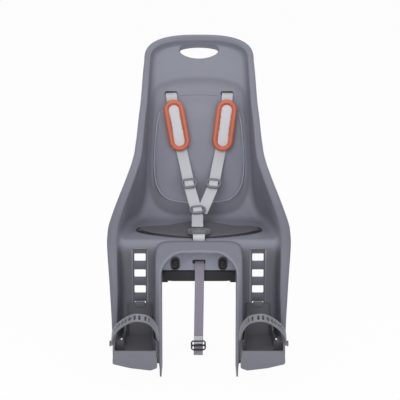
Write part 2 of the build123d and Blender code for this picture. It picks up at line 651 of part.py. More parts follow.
for side, sign in (("left", -1), ("right", 1)):
    # The room for the shoe, above the floor
    with BuildPart() as rest_room:
        extrude(rest_outline(sign, REST_WALL), amount=180)
        with BuildSketch(Plane.YZ) as above_floor:
            with BuildLine():
                Polyline((-120, rest_floor(-120)), (-240, rest_floor(-240)), (-240, 0), (-120, 0), close=True)
            make_face()
        extrude(amount=200, both=True, mode=Mode.INTERSECT)
    with BuildPart() as footrest:
        extrude(rest_outline(sign, 0), amount=180)
        with BuildSketch(Plane.YZ) as rest_view:
            with BuildLine():
                rounded([(-130, rest_floor(-130) - REST_WALL, 0), (-240, rest_floor(-240) - REST_WALL, 0),
                         *REST_SIDE])
            make_face()
        extrude(amount=200, both=True, mode=Mode.INTERSECT)
        add(rest_room.part, mode=Mode.SUBTRACT)
        # The way of the leg's rim, behind the flared front
        with BuildSketch(Plane.XY.offset(RIM_WAY_FLOOR)) as rim_way:
            with Locations((sign * (RIM_WAY_SIDE + 20), RIM_WAY_FRONT + 30)):
                Rectangle(40, 60)
        extrude(amount=100, mode=Mode.SUBTRACT)
        # The lip that hangs in front of the toes
        with BuildSketch(front_plane(REST_FLOOR_FRONT[0] + REST_WALL)) as lip:
            with BuildLine():
                Polyline(*[(sign * x, z) for x, z in REST_LIP], close=True)
            make_face()
            fillet(lip.vertices(), 5)
        extrude(amount=REST_WALL)
        # The plate against the leg and the tongue in the recess
        plate_foot = REST_FLOOR_REAR[1] - REST_WALL
        with BuildSketch(leg_plane(0, REST_GAP, sign * LEG_MIDDLE)) as rest_plate:
            with Locations((0, (REST_TOP + plate_foot) / 2)):
                RectangleRounded(REST_PLATE_WIDTH, REST_TOP - plate_foot, 4)
        extrude(amount=REST_PLATE)
        with BuildSketch(leg_plane(0, REST_GAP, sign * LEG_MIDDLE)) as tongue:
            with Locations((0, (REST_TOP + plate_foot) / 2)):
                RectangleRounded(RECESS_WIDTH - 1, REST_TOP - plate_foot - 2, 2.5)
        extrude(amount=-(RECESS_DEPTH + REST_GAP - 2 * TONGUE_SLACK))
    footrest.part.label = f"{side}_footrest"
    export_step(footrest.part, f"parts/{side}_footrest.step")

    # The catch that holds the footrest in a hole of the ladder
    with BuildPart() as foot_catch:
        with BuildSketch(leg_plane(0, REST_GAP + REST_PLATE, sign * LEG_MIDDLE)) as catch_outline:
            with Locations((0, REST_TOP - 1.5)):
                RectangleRounded(CATCH_WIDTH, CATCH_HEIGHT, 3)
        extrude(amount=CATCH_THICK)
    foot_catch.part.label = f"{side}_foot_catch"
    export_step(foot_catch.part, f"parts/{side}_foot_catch.step")

    # The strap over the instep, bent in a plane that leans forward
    strap_plane = Plane(origin=FOOT_STRAP_PLACE, x_dir=(1, 0, 0),
                        z_dir=(0, -cos(radians(FOOT_STRAP_LEAN)), -sin(radians(FOOT_STRAP_LEAN))))
    with BuildPart() as foot_strap:
        with BuildSketch(strap_plane.offset(-FOOT_STRAP_WIDTH / 2)) as strap_arch:
            with BuildLine() as strap_line:
                Spline(*[(sign * x, z) for x, z in FOOT_STRAP_LINE])
            trace(strap_line.line, FOOT_STRAP_THICK)
        extrude(amount=FOOT_STRAP_WIDTH)
    foot_strap.part.label = f"{side}_foot_strap"
    export_step(foot_strap.part, f"parts/{side}_foot_strap.step")

    # The stud that the strap buttons onto, on the outside of the cup
    with BuildPart() as foot_stud:
        stud_seat = FOOT_STRAP_LINE[0][0] + FOOT_STRAP_THICK / 2 + GAP
        with BuildSketch(Plane.YZ.offset(sign * stud_seat)) as stud:
            with Locations(STUD_PLACE):
                Circle(STUD_RADIUS)
        extrude(amount=sign * STUD_HEIGHT)
    foot_stud.part.label = f"{side}_foot_stud"
    export_step(foot_stud.part, f"parts/{side}_foot_stud.step")

# The seat pad, flat on the pan and cut to its slope
with BuildPart() as seat_pad:
    with BuildSketch(Plane.XY.offset(80)) as pad_plan:
        with BuildLine():
            Spline(*PAD_HALF, *[(-x, y) for x, y in PAD_HALF[-2:0:-1]], periodic=True)
        make_face()
    extrude(amount=60)
    with BuildSketch(Plane.YZ) as pad_side:
        with BuildLine():
            Polyline((-130, pan_height(-130) + PAD_GAP), (90, pan_height(90) + PAD_GAP),
                     (90, pan_height(90) + PAD_GAP + PAD_THICK),
                     (-130, pan_height(-130) + PAD_GAP + PAD_THICK), close=True)
        make_face()
    extrude(amount=200, both=True, mode=Mode.INTERSECT)
    fillet(seat_pad.faces().sort_by(Axis.Z)[-1].edges(), PAD_EDGE)
seat_pad.part.label = "seat_pad"
export_step(seat_pad.part, "parts/seat_pad.step")


def ribbon(front_points, side_points, width):
    """A flat strap: its front view and its side view, each traced and crossed with the other."""
    with BuildSketch(front_plane(400)) as front_view:
        with BuildLine() as front_line:
            Spline(*front_points)
        trace(front_line.line, width)
    with BuildSketch(Plane.YZ) as edge_view:
        with BuildLine() as side_line:
            Spline(*side_points)
        trace(side_line.line, WEBBING)
    return front_view.sketch, edge_view.sketch


straps = {
    "left_shoulder_strap": (LEFT_STRAP, STRAP_SIDE_VIEW, STRAP_WIDTH),
    "right_shoulder_strap": (RIGHT_STRAP, RIGHT_SIDE_VIEW, STRAP_WIDTH),
    "lower_strap": (LOWER_FRONT_VIEW, LOWER_SIDE_VIEW, STRAP_WIDTH),
    "crotch_strap": (CROTCH_FRONT_VIEW, CROTCH_SIDE_VIEW, STRAP_WIDTH),
    "safety_strap": (BELT_LINE, BELT_SIDE_VIEW, BELT_WIDTH),
}
for name, (front_points, side_points, width) in straps.items():
    front_sketch, edge_sketch = ribbon(front_points, side_points, width)
    with BuildPart() as strap:
        extrude(front_sketch, amount=800)
        extrude(edge_sketch, amount=200, both=True, mode=Mode.INTERSECT)
    strap.part.label = name
    export_step(strap.part, f"parts/{name}.step")


def on_strap(x, y, z, along, tilt, lift):
    """A plane on a strap's face: along is the strap's run in (y, z), tilt turns it about its normal."""
    run = Vector(0, *along).normalized()
    across = Vector(1, 0, 0)
    normal = across.cross(run)
    if normal.Y > 0:
        normal = -normal
    up = normal.cross(across)
    turned = across * cos(radians(tilt)) + up * sin(radians(tilt))
    return Plane(origin=Vector(x, y, z) + normal * lift, x_dir=turned, z_dir=normal)


def strap_frame(plane, width, height, bar):
    """A buckle frame with two openings for the webbing and a bar between them."""
    with BuildSketch(plane) as frame:
        RectangleRounded(width, height, height * 0.3)
        with Locations((0, height / 4 - bar / 8), (0, -height / 4 + bar / 8)):
            Rectangle(STRAP_WIDTH + 1, height / 2 - bar, mode=Mode.SUBTRACT)
    return extrude(frame.sketch, amount=ADJUSTER_THICK)


# Shoulder pads: a padded ring round a fabric insert, lying on each shoulder strap
for side, pad_side, pad_tilt in (("left", LEFT_PAD_SIDE, LEFT_PAD_TILT),
                                 ("right", RIGHT_PAD_SIDE, RIGHT_PAD_TILT)):
    pad_plane = on_strap(pad_side, SHOULDER_PAD_DEPTH, SHOULDER_PAD_UP, SHOULDER_PAD_RUN, pad_tilt,
                         WEBBING + GAP)
    with BuildPart() as shoulder_pad:
        with BuildSketch(pad_plane) as pad_ring:
            SlotOverall(SHOULDER_PAD_LENGTH, SHOULDER_PAD_WIDTH, rotation=90)
            SlotOverall(SHOULDER_PAD_LENGTH - 2 * SHOULDER_PAD_RING,
                        SHOULDER_PAD_WIDTH - 2 * SHOULDER_PAD_RING, rotation=90, mode=Mode.SUBTRACT)
        extrude(amount=SHOULDER_PAD_RING)
        fillet(shoulder_pad.edges(), SHOULDER_PAD_RING * 0.42)
    shoulder_pad.part.label = f"{side}_shoulder_pad"
    export_step(shoulder_pad.part, f"parts/{side}_shoulder_pad.step")
    with BuildPart() as pad_insert:
        with BuildSketch(pad_plane.offset(INSERT_LIFT)) as insert_outline:
            SlotOverall(SHOULDER_PAD_LENGTH - 2 * SHOULDER_PAD_RING - GAP,
                        SHOULDER_PAD_WIDTH - 2 * SHOULDER_PAD_RING - GAP, rotation=90)
        extrude(amount=INSERT_THICK)
    pad_insert.part.label = f"{side}_pad_insert"
    export_step(pad_insert.part, f"parts/{side}_pad_insert.step")

# Adjusters on the shoulder straps and on the junction
lap = WEBBING / 2 + GAP
adjusters = {
    "left_adjuster": on_strap(LEFT_ADJUSTER_SIDE, ADJUSTER_DEPTH, ADJUSTER_UP, ADJUSTER_RUN, 8, lap),
    "right_adjuster": on_strap(RIGHT_ADJUSTER_SIDE, ADJUSTER_DEPTH, ADJUSTER_UP, ADJUSTER_RUN, -6, lap),
    "junction_adjuster": on_strap(JUNCTION_SIDE, JUNCTION_DEPTH + 2, JUNCTION_UP + 2.1, JUNCTION_RUN, 8,
                                  lap + STRAP_STEP),
}
for name, plane in adjusters.items():
    with BuildPart() as adjuster:
        strap_frame(plane, ADJUSTER_WIDTH, ADJUSTER_LENGTH, ADJUSTER_BAR)
    adjuster.part.label = name
    export_step(adjuster.part, f"parts/{name}.step")

# The crotch buckle on the pad: body, tongue and button
pad_top = pan_height(BUCKLE_Y) + PAD_GAP + PAD_THICK
buckle_plane = Plane(origin=(0, BUCKLE_Y, pad_top + GAP), x_dir=(1, 0, 0),
                     z_dir=(0, sin(radians(PAN_TILT)), cos(radians(PAN_TILT))))
with BuildPart() as buckle_body:
    with BuildSketch(buckle_plane) as buckle_outline:
        with BuildLine():
            rounded([(-x, y, radius) for x, y, radius in BUCKLE_HALF] + BUCKLE_HALF[::-1])
        make_face()
    extrude(amount=BUCKLE_THICK)
    fillet(buckle_body.faces().sort_by(Axis.Z)[-1].edges(), BUCKLE_EDGE)
    with BuildSketch(buckle_plane.offset(BUCKLE_FLOOR)) as button_bore:
        Circle(BUTTON_RADIUS + GAP)
    extrude(amount=BUCKLE_THICK, mode=Mode.SUBTRACT)
buckle_body.part.label = "buckle_body"
export_step(buckle_body.part, "parts/buckle_body.step")

with BuildPart() as buckle_button:
    with BuildSketch(buckle_plane.offset(BUCKLE_FLOOR + BUTTON_TRAVEL + GAP)) as button_outline:
        Circle(BUTTON_RADIUS)
    extrude(amount=BUCKLE_THICK + BUTTON_PROUD - BUCKLE_FLOOR - BUTTON_TRAVEL)
    fillet(buckle_button.faces().sort_by(Axis.Z)[-1].edges(), 0.6)
buckle_button.part.label = "buckle_button"
export_step(buckle_button.part, "parts/buckle_button.step")

with BuildPart() as buckle_tongue:
    with BuildSketch(buckle_plane.offset(TONGUE_LIFT)) as tongue_outline:
        with Locations((0, (BUCKLE_LENGTH + TONGUE_LENGTH) / 2)):
            RectangleRounded(TONGUE_WIDTH, TONGUE_LENGTH, 3)
            Rectangle(STRAP_WIDTH + 1, 4, mode=Mode.SUBTRACT)
    extrude(amount=TONGUE_THICK)
buckle_tongue.part.label = "buckle_tongue"
export_step(buckle_tongue.part, "parts/buckle_tongue.step")

# The bar under the pan that holds the crotch strap
with BuildPart() as crotch_anchor:
    with BuildSketch(Plane.XY.offset(ARCH_TOP + WALL)) as crotch_bar:
        with Locations((0, -97)):
            RectangleRounded(ANCHOR_WIDTH, ANCHOR_DEPTH, 2)
    extrude(amount=ANCHOR_TOP - ARCH_TOP - WALL)
crotch_anchor.part.label = "crotch_anchor"
export_step(crotch_anchor.part, "parts/crotch_anchor.step")

# The keepers behind the back that hold the shoulder straps
for side, sign in (("left", -1), ("right", 1)):
    keeper_plane = Plane(origin=(sign * SLOT_SIDE, BACK_AT_SLOT + WALL + GAP, SLOT_UP), x_dir=(1, 0, 0),
                         z_dir=Vector(0, 1, -BACK_SLOPE).normalized())
    with BuildPart() as strap_keeper:
        with BuildSketch(keeper_plane) as keeper_outline:
            RectangleRounded(SLOT_WIDTH + KEEPER_MARGIN, SLOT_HEIGHT + KEEPER_MARGIN, 4)
        extrude(amount=KEEPER_THICK)
    strap_keeper.part.label = f"{side}_strap_keeper"
    export_step(strap_keeper.part, f"parts/{side}_strap_keeper.step")

# The keeper behind the web plate and the lock on the safety strap
with BuildPart() as belt_keeper:
    with BuildSketch(front_plane(WEB_FRONT + WALL + BELT_KEEPER_THICK)) as belt_bar:
        with Locations((0, BELT_SLOT_UP)):
            RectangleRounded(BELT_WIDTH + BELT_KEEPER_MARGIN, BELT_KEEPER_HEIGHT, 3)
    extrude(amount=BELT_KEEPER_THICK)
belt_keeper.part.label = "belt_keeper"
export_step(belt_keeper.part, "parts/belt_keeper.step")

with BuildPart() as safety_lock:
    strap_frame(on_strap(*LOCK_PLACE, LOCK_RUN, 1, lap), LOCK_WIDTH, LOCK_HEIGHT, LOCK_BAR)
safety_lock.part.label = "safety_lock"
export_step(safety_lock.part, "parts/safety_lock.step")
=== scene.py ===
# Child bike seat: the looks of the part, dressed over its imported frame.
# Shapes are worked out in millimetres and written to the meshes in metres.
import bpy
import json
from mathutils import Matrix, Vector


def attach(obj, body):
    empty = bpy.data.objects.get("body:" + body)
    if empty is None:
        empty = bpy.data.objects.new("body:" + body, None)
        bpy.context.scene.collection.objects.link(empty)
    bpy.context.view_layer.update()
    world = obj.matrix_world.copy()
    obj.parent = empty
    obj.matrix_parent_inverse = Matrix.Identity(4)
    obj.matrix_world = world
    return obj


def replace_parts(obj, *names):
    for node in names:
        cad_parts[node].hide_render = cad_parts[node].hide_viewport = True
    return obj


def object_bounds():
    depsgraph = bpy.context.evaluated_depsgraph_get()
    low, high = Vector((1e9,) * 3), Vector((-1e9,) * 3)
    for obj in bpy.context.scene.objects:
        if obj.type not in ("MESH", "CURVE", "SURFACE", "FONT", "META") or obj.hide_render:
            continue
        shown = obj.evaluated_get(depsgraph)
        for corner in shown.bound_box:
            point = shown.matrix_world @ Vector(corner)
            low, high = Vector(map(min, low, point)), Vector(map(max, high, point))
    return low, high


bl_info = {
    "name": "Child bike seat",
    "version": (1, 0, 0),
    "blender": (4, 5, 0),
    "location": "View3D > Sidebar > Bike Seat",
    "description": "Dresses a rear child seat: shell, pad, harness, footrests and base",
    "category": "Object",
}

import json
from bisect import bisect_right
from math import cos, pi, radians, sin, tan

import bmesh
import bpy
from bpy.props import FloatProperty, FloatVectorProperty, PointerProperty
from mathutils import Matrix, Vector

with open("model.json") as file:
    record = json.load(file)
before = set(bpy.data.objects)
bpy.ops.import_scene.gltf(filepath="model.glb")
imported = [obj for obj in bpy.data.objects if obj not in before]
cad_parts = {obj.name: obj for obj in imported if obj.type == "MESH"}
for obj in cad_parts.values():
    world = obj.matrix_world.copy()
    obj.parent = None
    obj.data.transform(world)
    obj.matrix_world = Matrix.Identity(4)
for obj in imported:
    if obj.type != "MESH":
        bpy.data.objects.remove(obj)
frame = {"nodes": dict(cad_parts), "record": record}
cad_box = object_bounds()

# Sizes in this file are in millimetres, apart from those of lamps, camera and shader noise
MM = 0.001
WALL = 3.5
WEBBING = 1.6
STRAP_WIDTH = 25
BELT_WIDTH = 20
FOOT_STRAP_WIDTH = 18
MERGE = 0.01

# The pan's floor rises from its rear edge, and the legs' rear walls lean
PAN_REAR = 84
PAN_UP = 94.7
PAN_TILT = radians(2)
LEG_TILT = radians(5)


def pan_height(y):
    return PAN_UP + (PAN_REAR - y) * tan(PAN_TILT)


def leg_depth(z):
    return -118.5 - (78 - z) * tan(LEG_TILT)


# The shell's stations from the head to the feet, as in the part:
# floor y and z, rim y and z, half width at the floor, at the rim, flange width


BACK_STATIONS = [
    (196.2, 447.3, 176.6, 451.1, 103.5, 112.3, 13.2),
    (192.7, 429, 171, 432, 106, 113.7, 14),
    (189, 409, 162, 410, 108, 115, 14.5),
    (184.5, 384, 147, 385, 110, 116.3, 14.8),
    (180, 356, 128, 357, 112, 118, 15.2),
    (175, 325, 111, 335, 114, 120.5, 15.4),
    (169.5, 290, 95, 313, 116, 122.3, 15.7),
    (162.5, 245, 80, 291, 118.5, 124, 16.2),
    (154.5, 197, 67, 276, 121, 125, 17.2),
    (143.5, 150, 54, 262, 124, 126, 18),
    (128, 118, 46, 254, 130, 127.4, 18.5),
    (109, 100, 38, 246, 139, 129.3, 19),
    (PAN_REAR, PAN_UP, 29, 238, 150, 131.6, 19.2),
    (20, pan_height(20), -3, 206, 163, 143, 20.5),
    (-40, pan_height(-40), -47, 167, 166, 159, 21),
    (-86, pan_height(-86), -91, 133, 167, 171, 21.2),
    (-101, pan_height(-101) - 0.5, -108, 120, 167, 172.5, 21),
    (-112, 94, -127, 104, 166, 173, 20.6),
]
LEG_STATIONS = [
    (leg_depth(z), z, *rest)
    for z, *rest in (
        (78, -146, 80, 164, 171.5, 20),
        (43, -162, 41, 162, 170, 18),
        (3, -172, 2, 162, 169.2, 16.2),
        (-57, -184, -59, 163, 171, 11),
        (-106, -189, -104, 164, 172, 9),
    )
]
STATIONS = BACK_STATIONS + LEG_STATIONS
HEAD_TILT = radians(11)

# The cells of a row of the shell's front face: its straights and its bends, and where its rim starts
ROW_STRAIGHTS = [30, 8, 6, 3]
ROW_BENDS = [8, 5, 5]
SECTION_CELLS = sum(ROW_STRAIGHTS) + sum(ROW_BENDS)
RIM_COLUMN = sum(ROW_STRAIGHTS[:2]) + sum(ROW_BENDS[:2])

# The lines on the back, half of each, as (across, up)
PANEL_LINE = [(0, 372), (30, 371), (50, 368.5), (66, 363), (80, 351), (91, 332), (97, 308),
              (100, 280), (103, 245), (104, 215), (103, 190), (99, 167), (92, 152.5), (83, 141.5), (71, 134),
              (56, 130), (30, 126.5), (0, 125)]
HOLLOW_LINE = [(0, 411), (30, 410), (60, 406), (90, 397), (106, 380), (111, 350), (115, 300), (118, 240),
               (119, 190), (117, 160), (113, 140), (106, 124), (95, 112), (78, 104), (55, 100), (0, 98)]

# The arch between the legs: (across, up, radius), and the side view of its front edge (y, z)
ARCH = [(78.5, -172, 0), (78.5, 56, 34), (51, 79.5, 50), (0, 79.5, 0)]
APRON_SIDE = 91.5
APRON_TOP = 100.5
RIB_CELLS = 26
BLADE_FRONT = [(-112, 102), (-123, 99.5), (-135, 82), (-151, 66), (-166, 42), (-184, 0), (-192, -60),
               (-198, -120), (-200, -160), (-194, -172)]

# The openings: the harness slots, the bolt cups, and the ladders with their recess and holes
SLOT_SIDE = 64.8
SLOT_UP = 374
CROTCH_SLOT_DEPTH = -103.5
BOLT_SIDE = 51.5
BOLT_UP = 39
CUP_WIDTH = 16
CUP_HEIGHT = 26
CUP_DEPTH = 8.2
PLATE_FRONT = -70
BELT_SLOT_UP = 43
LADDER_SIDE = 125
LADDER_MIDDLE = -10
LADDER_TOP_HOLE = 66.8
LADDER_PITCH = 34.4

# The block under the pan
PEDESTAL_SIZE = (164, 146, 71)
PEDESTAL_MIDDLE = (0, 3, 57.5)

# The harness: each strap's middle line from the front (x, z) and from the side (y, z)
SIDE_VIEW = [(186.4, 374.5), (180, 372.5), (176, 352), (170.8, 320), (163, 272), (156, 235), (139, 203),
             (110, 175), (80, 146.5), (50, 122.5)]
RIGHT_SIDE_VIEW = SIDE_VIEW[:-2] + [(81.2, 144.7), (51.5, 119.8)]
LEFT_STRAP = [(-64.8, 376), (-61.5, 356), (-51.4, 302), (-39.8, 243), (-31.2, 208), (-22.6, 175),
              (-13.8, 148), (-3.6, 122)]
RIGHT_STRAP = [(65.8, 376), (64.2, 356), (59.2, 302), (49.4, 243), (41.6, 208), (33.2, 175), (20.6, 148),
               (6.4, 122)]
LOWER_STRAP = [(-3.6, 49, 121.8), (-3.5, 30, 119.8), (-3.4, 10, 118.2), (-3.2, -30, 116.8),
               (-3.1, -50, 116.3)]
CROTCH_STRAP = [(0, -95.6, 110.6), (0, -101, 110), (0, -104.8, 105), (0, -103.4, 97.6), (0, -98.8, 92.3)]
BELT = [(1.3, -67, 43.2), (1.3, -73, 42.6), (1.3, -77.6, 37), (1.2, -79.5, 18), (0.7, -82, -20),
        (0.1, -84, -60), (-0.7, -87, -110), (-1.7, -90, -163)]
BELT_OUT = (0, -1, 0.06)
FOOT_STRAP = [(180.2, -4), (177, 26), (162, 58), (132, 84), (103, 78), (88, 48), (84, 14)]

# The foot strap leans forward: the way of its width, and its way up
STRAP_LEAN = Vector((0, -0.814, -0.581))
STRAP_RISE = Vector((0, -0.581, 0.814))
STRAP_FOOT = (-207, -90)
ARROW = [(-5.2, 0), (0.8, 7.0), (0.8, 2.6), (4.6, 2.6), (4.6, -2.6), (0.8, -2.6), (0.8, -7.0)]

# The shoulder pads: side, place across and tilt. The adjusters: name, place, run, tilt and lift
SHOULDER_PADS = [("left", -51.4, 10.3), ("right", 59.2, -7.2)]
ADJUSTERS = [("left", (-22.6, 110, 175), (30, 27), 8, 1.1), ("right", (33.2, 110, 175), (30, 27), -6, 1.1),
             ("junction", (-3.6, 52, 124.6), (30, 15), 8, 3.3)]

# Half of the seat pad's outline, from its rear edge to its front edge
PAD_HALF = [(0, 77), (16, 66), (34, 55), (47, 45), (60, 36), (72, 28), (86, 22), (108, 18.5), (125, 12),
            (134, 3), (138, -9), (137, -21), (129, -36), (110, -54), (87, -68), (60, -80), (28, -89),
            (0, -93)]


def paint(*screen):
    """A colour written in screen values from 0 to 255, as the linear colour that a shader takes."""
    linear = [(c / 255 + 0.055) ** 2.4 / 1.055 ** 2.4 if c > 10 else c / 255 / 12.92 for c in screen]
    return (*linear, 1.0)


def tint(colour, factor):
    """A lighter or darker mix of a colour."""
    return (*[min(1.0, c * factor) for c in colour[:3]], 1.0)


# Curves through points

def flow(rows, knots, at):
    """The row of numbers at one knot value, on a smooth curve through all the rows."""
    i = min(max(bisect_right(knots, at) - 1, 0), len(rows) - 2)
    span = knots[i + 1] - knots[i]
    t = (at - knots[i]) / span

    def slope(k):
        low, high = max(k - 1, 0), min(k + 1, len(rows) - 1)
        return [(b - a) / (knots[high] - knots[low]) for a, b in zip(rows[low], rows[high])]

    return tuple(
        (2 * t ** 3 - 3 * t ** 2 + 1) * p + (t ** 3 - 2 * t ** 2 + t) * span * u
        + (3 * t ** 2 - 2 * t ** 3) * q + (t ** 3 - t ** 2) * span * v
        for p, q, u, v in zip(rows[i], rows[i + 1], slope(i), slope(i + 1)))


def knots_of(points):
    """The distance along a line of points at each of them."""
    total, knots = 0.0, [0.0]
    for a, b in zip(points, points[1:]):
        total += (Vector(b) - Vector(a)).length
        knots.append(total)
    return knots


def smooth_line(points, cells):
    """The smooth line through points, divided into equal cells."""
    knots = knots_of(points)
    return [Vector(flow(points, knots, knots[-1] * k / cells)) for k in range(cells + 1)]


def bend(start, corner, end, cells):
    """A round corner from start to end, without its first point."""
    weight = sin((start - corner).angle(end - corner) / 2) if (start - corner).length > 1e-6 else 1.0
    points = []
    for k in range(1, cells + 1):
        t = k / cells
        a, b, c = (1 - t) ** 2, 2 * t * (1 - t) * weight, t ** 2
        points.append((start * a + corner * b + end * c) / (a + b + c))
    return points


def rounded(corners, straights, bends):
    """An open line through corners of (place, radius), with the cells of its straights and bends."""
    points = [corners[0][0]]
    for i, (here, radius) in enumerate(corners[1:], 1):
        if i == len(corners) - 1:
            stop, after = here, []
        else:
            back, ahead = corners[i - 1][0] - here, corners[i + 1][0] - here
            reach = min(radius / tan(back.angle(ahead) / 2), back.length * 0.49, ahead.length * 0.49)
            stop = here + back.normalized() * reach
            after = bend(stop, here, here + ahead.normalized() * reach, bends[i - 1])
        start, cells = points[-1], straights[i - 1]
        points += [start.lerp(stop, k / cells) for k in range(1, cells + 1)] + after
    return points


def outline(corners, cells=6):
    """A closed outline through corners of (across, up, radius)."""
    points = []
    for i, (x, y, radius) in enumerate(corners):
        here = Vector((x, y))
        back = Vector(corners[i - 1][:2]) - here
        ahead = Vector(corners[(i + 1) % len(corners)][:2]) - here
        if radius == 0:
            points.append(here)
            continue
        reach = min(radius / tan(back.angle(ahead) / 2), back.length * 0.499, ahead.length * 0.499)
        start = here + back.normalized() * reach
        points += [start] + bend(start, here, here + ahead.normalized() * reach, cells)
    return points


def box_outline(width, height, radius, x=0.0, y=0.0, cells=6):
    """A rounded rectangle round (x, y)."""
    w, h = width / 2, height / 2
    return outline([(x - w, y - h, radius), (x + w, y - h, radius), (x + w, y + h, radius),
                    (x - w, y + h, radius)], cells)


def mirrored(points):
    """The points of an outline's other half, on the way back."""
    return [Vector((-point.x, point.y)) for point in reversed(points)]


def arch_line(straights, bends):
    """Half of the arch, from a foot to the middle of its top."""
    return rounded([(Vector((x, z)), radius) for x, z, radius in ARCH], straights, bends)


def ease(t):
    """0 before 0, 1 after 1, and smooth between."""
    t = min(max(t, 0.0), 1.0)
    return t * t * (3 - 2 * t)


def depth_inside(line, x, z):
    """How far (x, z) lies inside a line that is mirrored about the middle; outside it is negative."""
    best, inside = 1e9, False
    x = abs(x)
    for (ax, az), (bx, bz) in zip(line, line[1:]):
        if (az > z) != (bz > z) and x < ax + (z - az) / (bz - az) * (bx - ax):
            inside = not inside
        length = (bx - ax) ** 2 + (bz - az) ** 2
        t = min(max(((x - ax) * (bx - ax) + (z - az) * (bz - az)) / length, 0), 1)
        best = min(best, (x - ax - t * (bx - ax)) ** 2 + (z - az - t * (bz - az)) ** 2)
    return best ** 0.5 if inside else -best ** 0.5


# Frames in which flat pieces are drawn: across, up and out of the face

def plane(origin, across, up):
    """A frame with its x along across and its y near up."""
    x = Vector(across).normalized()
    z = x.cross(Vector(up)).normalized()
    y = z.cross(x)
    matrix = Matrix((x, y, z)).transposed().to_4x4()
    matrix.translation = Vector(origin)
    return matrix


def front(y):
    """An upright frame at y that faces forward."""
    return plane((0, y, 0), (1, 0, 0), (0, 0, 1))


def leg_frame(side=0.0):
    """The frame of a leg's rear wall, with its up running along the wall."""
    return plane((side, leg_depth(0), 0), (1, 0, 0), (0, sin(LEG_TILT), cos(LEG_TILT)))


def strap_frame(x, y, z, run, tilt, lift):
    """A frame on a strap that runs along (y, z), turned by tilt and lifted off its face."""
    base = plane((x, y, z), (1, 0, 0), (0, *run))
    return base @ Matrix.Translation((0, 0, lift)) @ Matrix.Rotation(radians(tilt), 4, "Z")


HEAD = plane((0, *BACK_STATIONS[0][:2]), (1, 0, 0), (0, sin(HEAD_TILT), cos(HEAD_TILT)))

# Meshes

def grid(bm, across, along, place, closed=False):
    """Cells whose corners go where place(column, row) says, with a UV map from 0 to 1 each way."""
    uv = bm.loops.layers.uv.verify()
    made = bmesh.ops.create_grid(bm, x_segments=across, y_segments=along, size=0.5)["verts"]
    faces = {face for vert in made for face in vert.link_faces}
    for face in faces:
        for corner in face.loops:
            corner[uv].uv = (corner.vert.co.x + 0.5, corner.vert.co.y + 0.5)
    for vert in made:
        vert.co = place(round((vert.co.x + 0.5) * across), round((vert.co.y + 0.5) * along))
    if closed:
        bmesh.ops.remove_doubles(bm, verts=made, dist=1e-4)
    return [vert for vert in made if vert.is_valid]


def slab(bm, points, place, near, far):
    """A prism over an outline, from near to far along the frame's z."""
    verts = [bm.verts.new(place @ Vector((*point, near))) for point in points]
    face = bm.faces.new(verts)
    made = bmesh.ops.extrude_face_region(bm, geom=[face])["geom"]
    raised = [item for item in made if isinstance(item, bmesh.types.BMVert)]
    shift = place.to_3x3() @ Vector((0, 0, far - near))
    bmesh.ops.translate(bm, verts=raised, vec=shift)
    faces = {f for vert in verts + raised for f in vert.link_faces}
    bmesh.ops.recalc_face_normals(bm, faces=list(faces))


def way_along(path, row):
    """The direction of a path at one of its points."""
    return path[min(row + 1, len(path) - 1)] - path[max(row - 1, 0)]


def tube(bm, path, width, height, sides=10):
    """A round or flattened bar along a path."""
    def place(column, row):
        way = way_along(path, row)
        across = way.cross(Vector((0, -1, 0))).normalized()
        out = across.cross(way).normalized()
        angle = 2 * pi * column / sides
        return path[row] + across * (cos(angle) * width / 2) + out * (sin(angle) * height / 2)

    made = grid(bm, sides, len(path) - 1, place, closed=True)
    edges = {edge for vert in made for edge in vert.link_edges if edge.is_boundary}
    bmesh.ops.holes_fill(bm, edges=list(edges), sides=0)


def face_forward(bm):
    """Turns the faces of an open sheet to the front."""
    bmesh.ops.recalc_face_normals(bm, faces=bm.faces)
    if sum(face.normal.y * face.calc_area() for face in bm.faces) > 0:
        bmesh.ops.reverse_faces(bm, faces=bm.faces)


def mirror_sheet(bm):
    """Adds the other half of a sheet, across the middle."""
    bmesh.ops.mirror(bm, geom=bm.verts[:] + bm.edges[:] + bm.faces[:], axis="X", merge_dist=MERGE)
    bmesh.ops.remove_doubles(bm, verts=bm.verts, dist=MERGE)
    face_forward(bm)


def new_piece(name, bm, material, body, smooth=40.0):
    """Makes an object of a mesh in millimetres, with its material, that rides on a body."""
    bmesh.ops.scale(bm, vec=(MM, MM, MM), verts=bm.verts)
    mesh = bpy.data.meshes.new(name)
    bm.to_mesh(mesh)
    bm.free()
    obj = bpy.data.objects.new(name, mesh)
    bpy.context.scene.collection.objects.link(obj)
    mesh.materials.append(material)
    mesh.shade_smooth()
    mesh.set_sharp_from_angle(angle=radians(smooth))
    if body:
        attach(obj, body)
    return obj


def settle(obj, smooth=40.0):
    """Applies the modifiers of an object to its mesh."""
    bpy.context.view_layer.update()
    shaped = obj.evaluated_get(bpy.context.evaluated_depsgraph_get())
    mesh = bpy.data.meshes.new_from_object(shaped)
    old = obj.data
    obj.modifiers.clear()
    obj.data = mesh
    bpy.data.meshes.remove(old)
    mesh.name = obj.name
    mesh.shade_smooth()
    mesh.set_sharp_from_angle(angle=radians(smooth))


def mark(obj, name, amount):
    """Gives a whole piece one value of an attribute that its material reads."""
    attribute = obj.data.attributes.get(name) or obj.data.attributes.new(name, "FLOAT", "POINT")
    attribute.data.foreach_set("value", [amount] * len(obj.data.vertices))


def thicken(obj, thickness, offset=-1.0):
    """Gives a sheet its wall."""
    wall = obj.modifiers.new("wall", "SOLIDIFY")
    wall.thickness = thickness * MM
    wall.offset = offset
    wall.use_even_offset = True
    wall.use_quality_normals = True


def soften(obj, width, segments=2, angle=35.0):
    """Rounds the sharp edges of an object."""
    rounding = obj.modifiers.new("rounding", "BEVEL")
    rounding.width = width * MM
    rounding.segments = segments
    rounding.limit_method = "ANGLE"
    rounding.angle_limit = radians(angle)


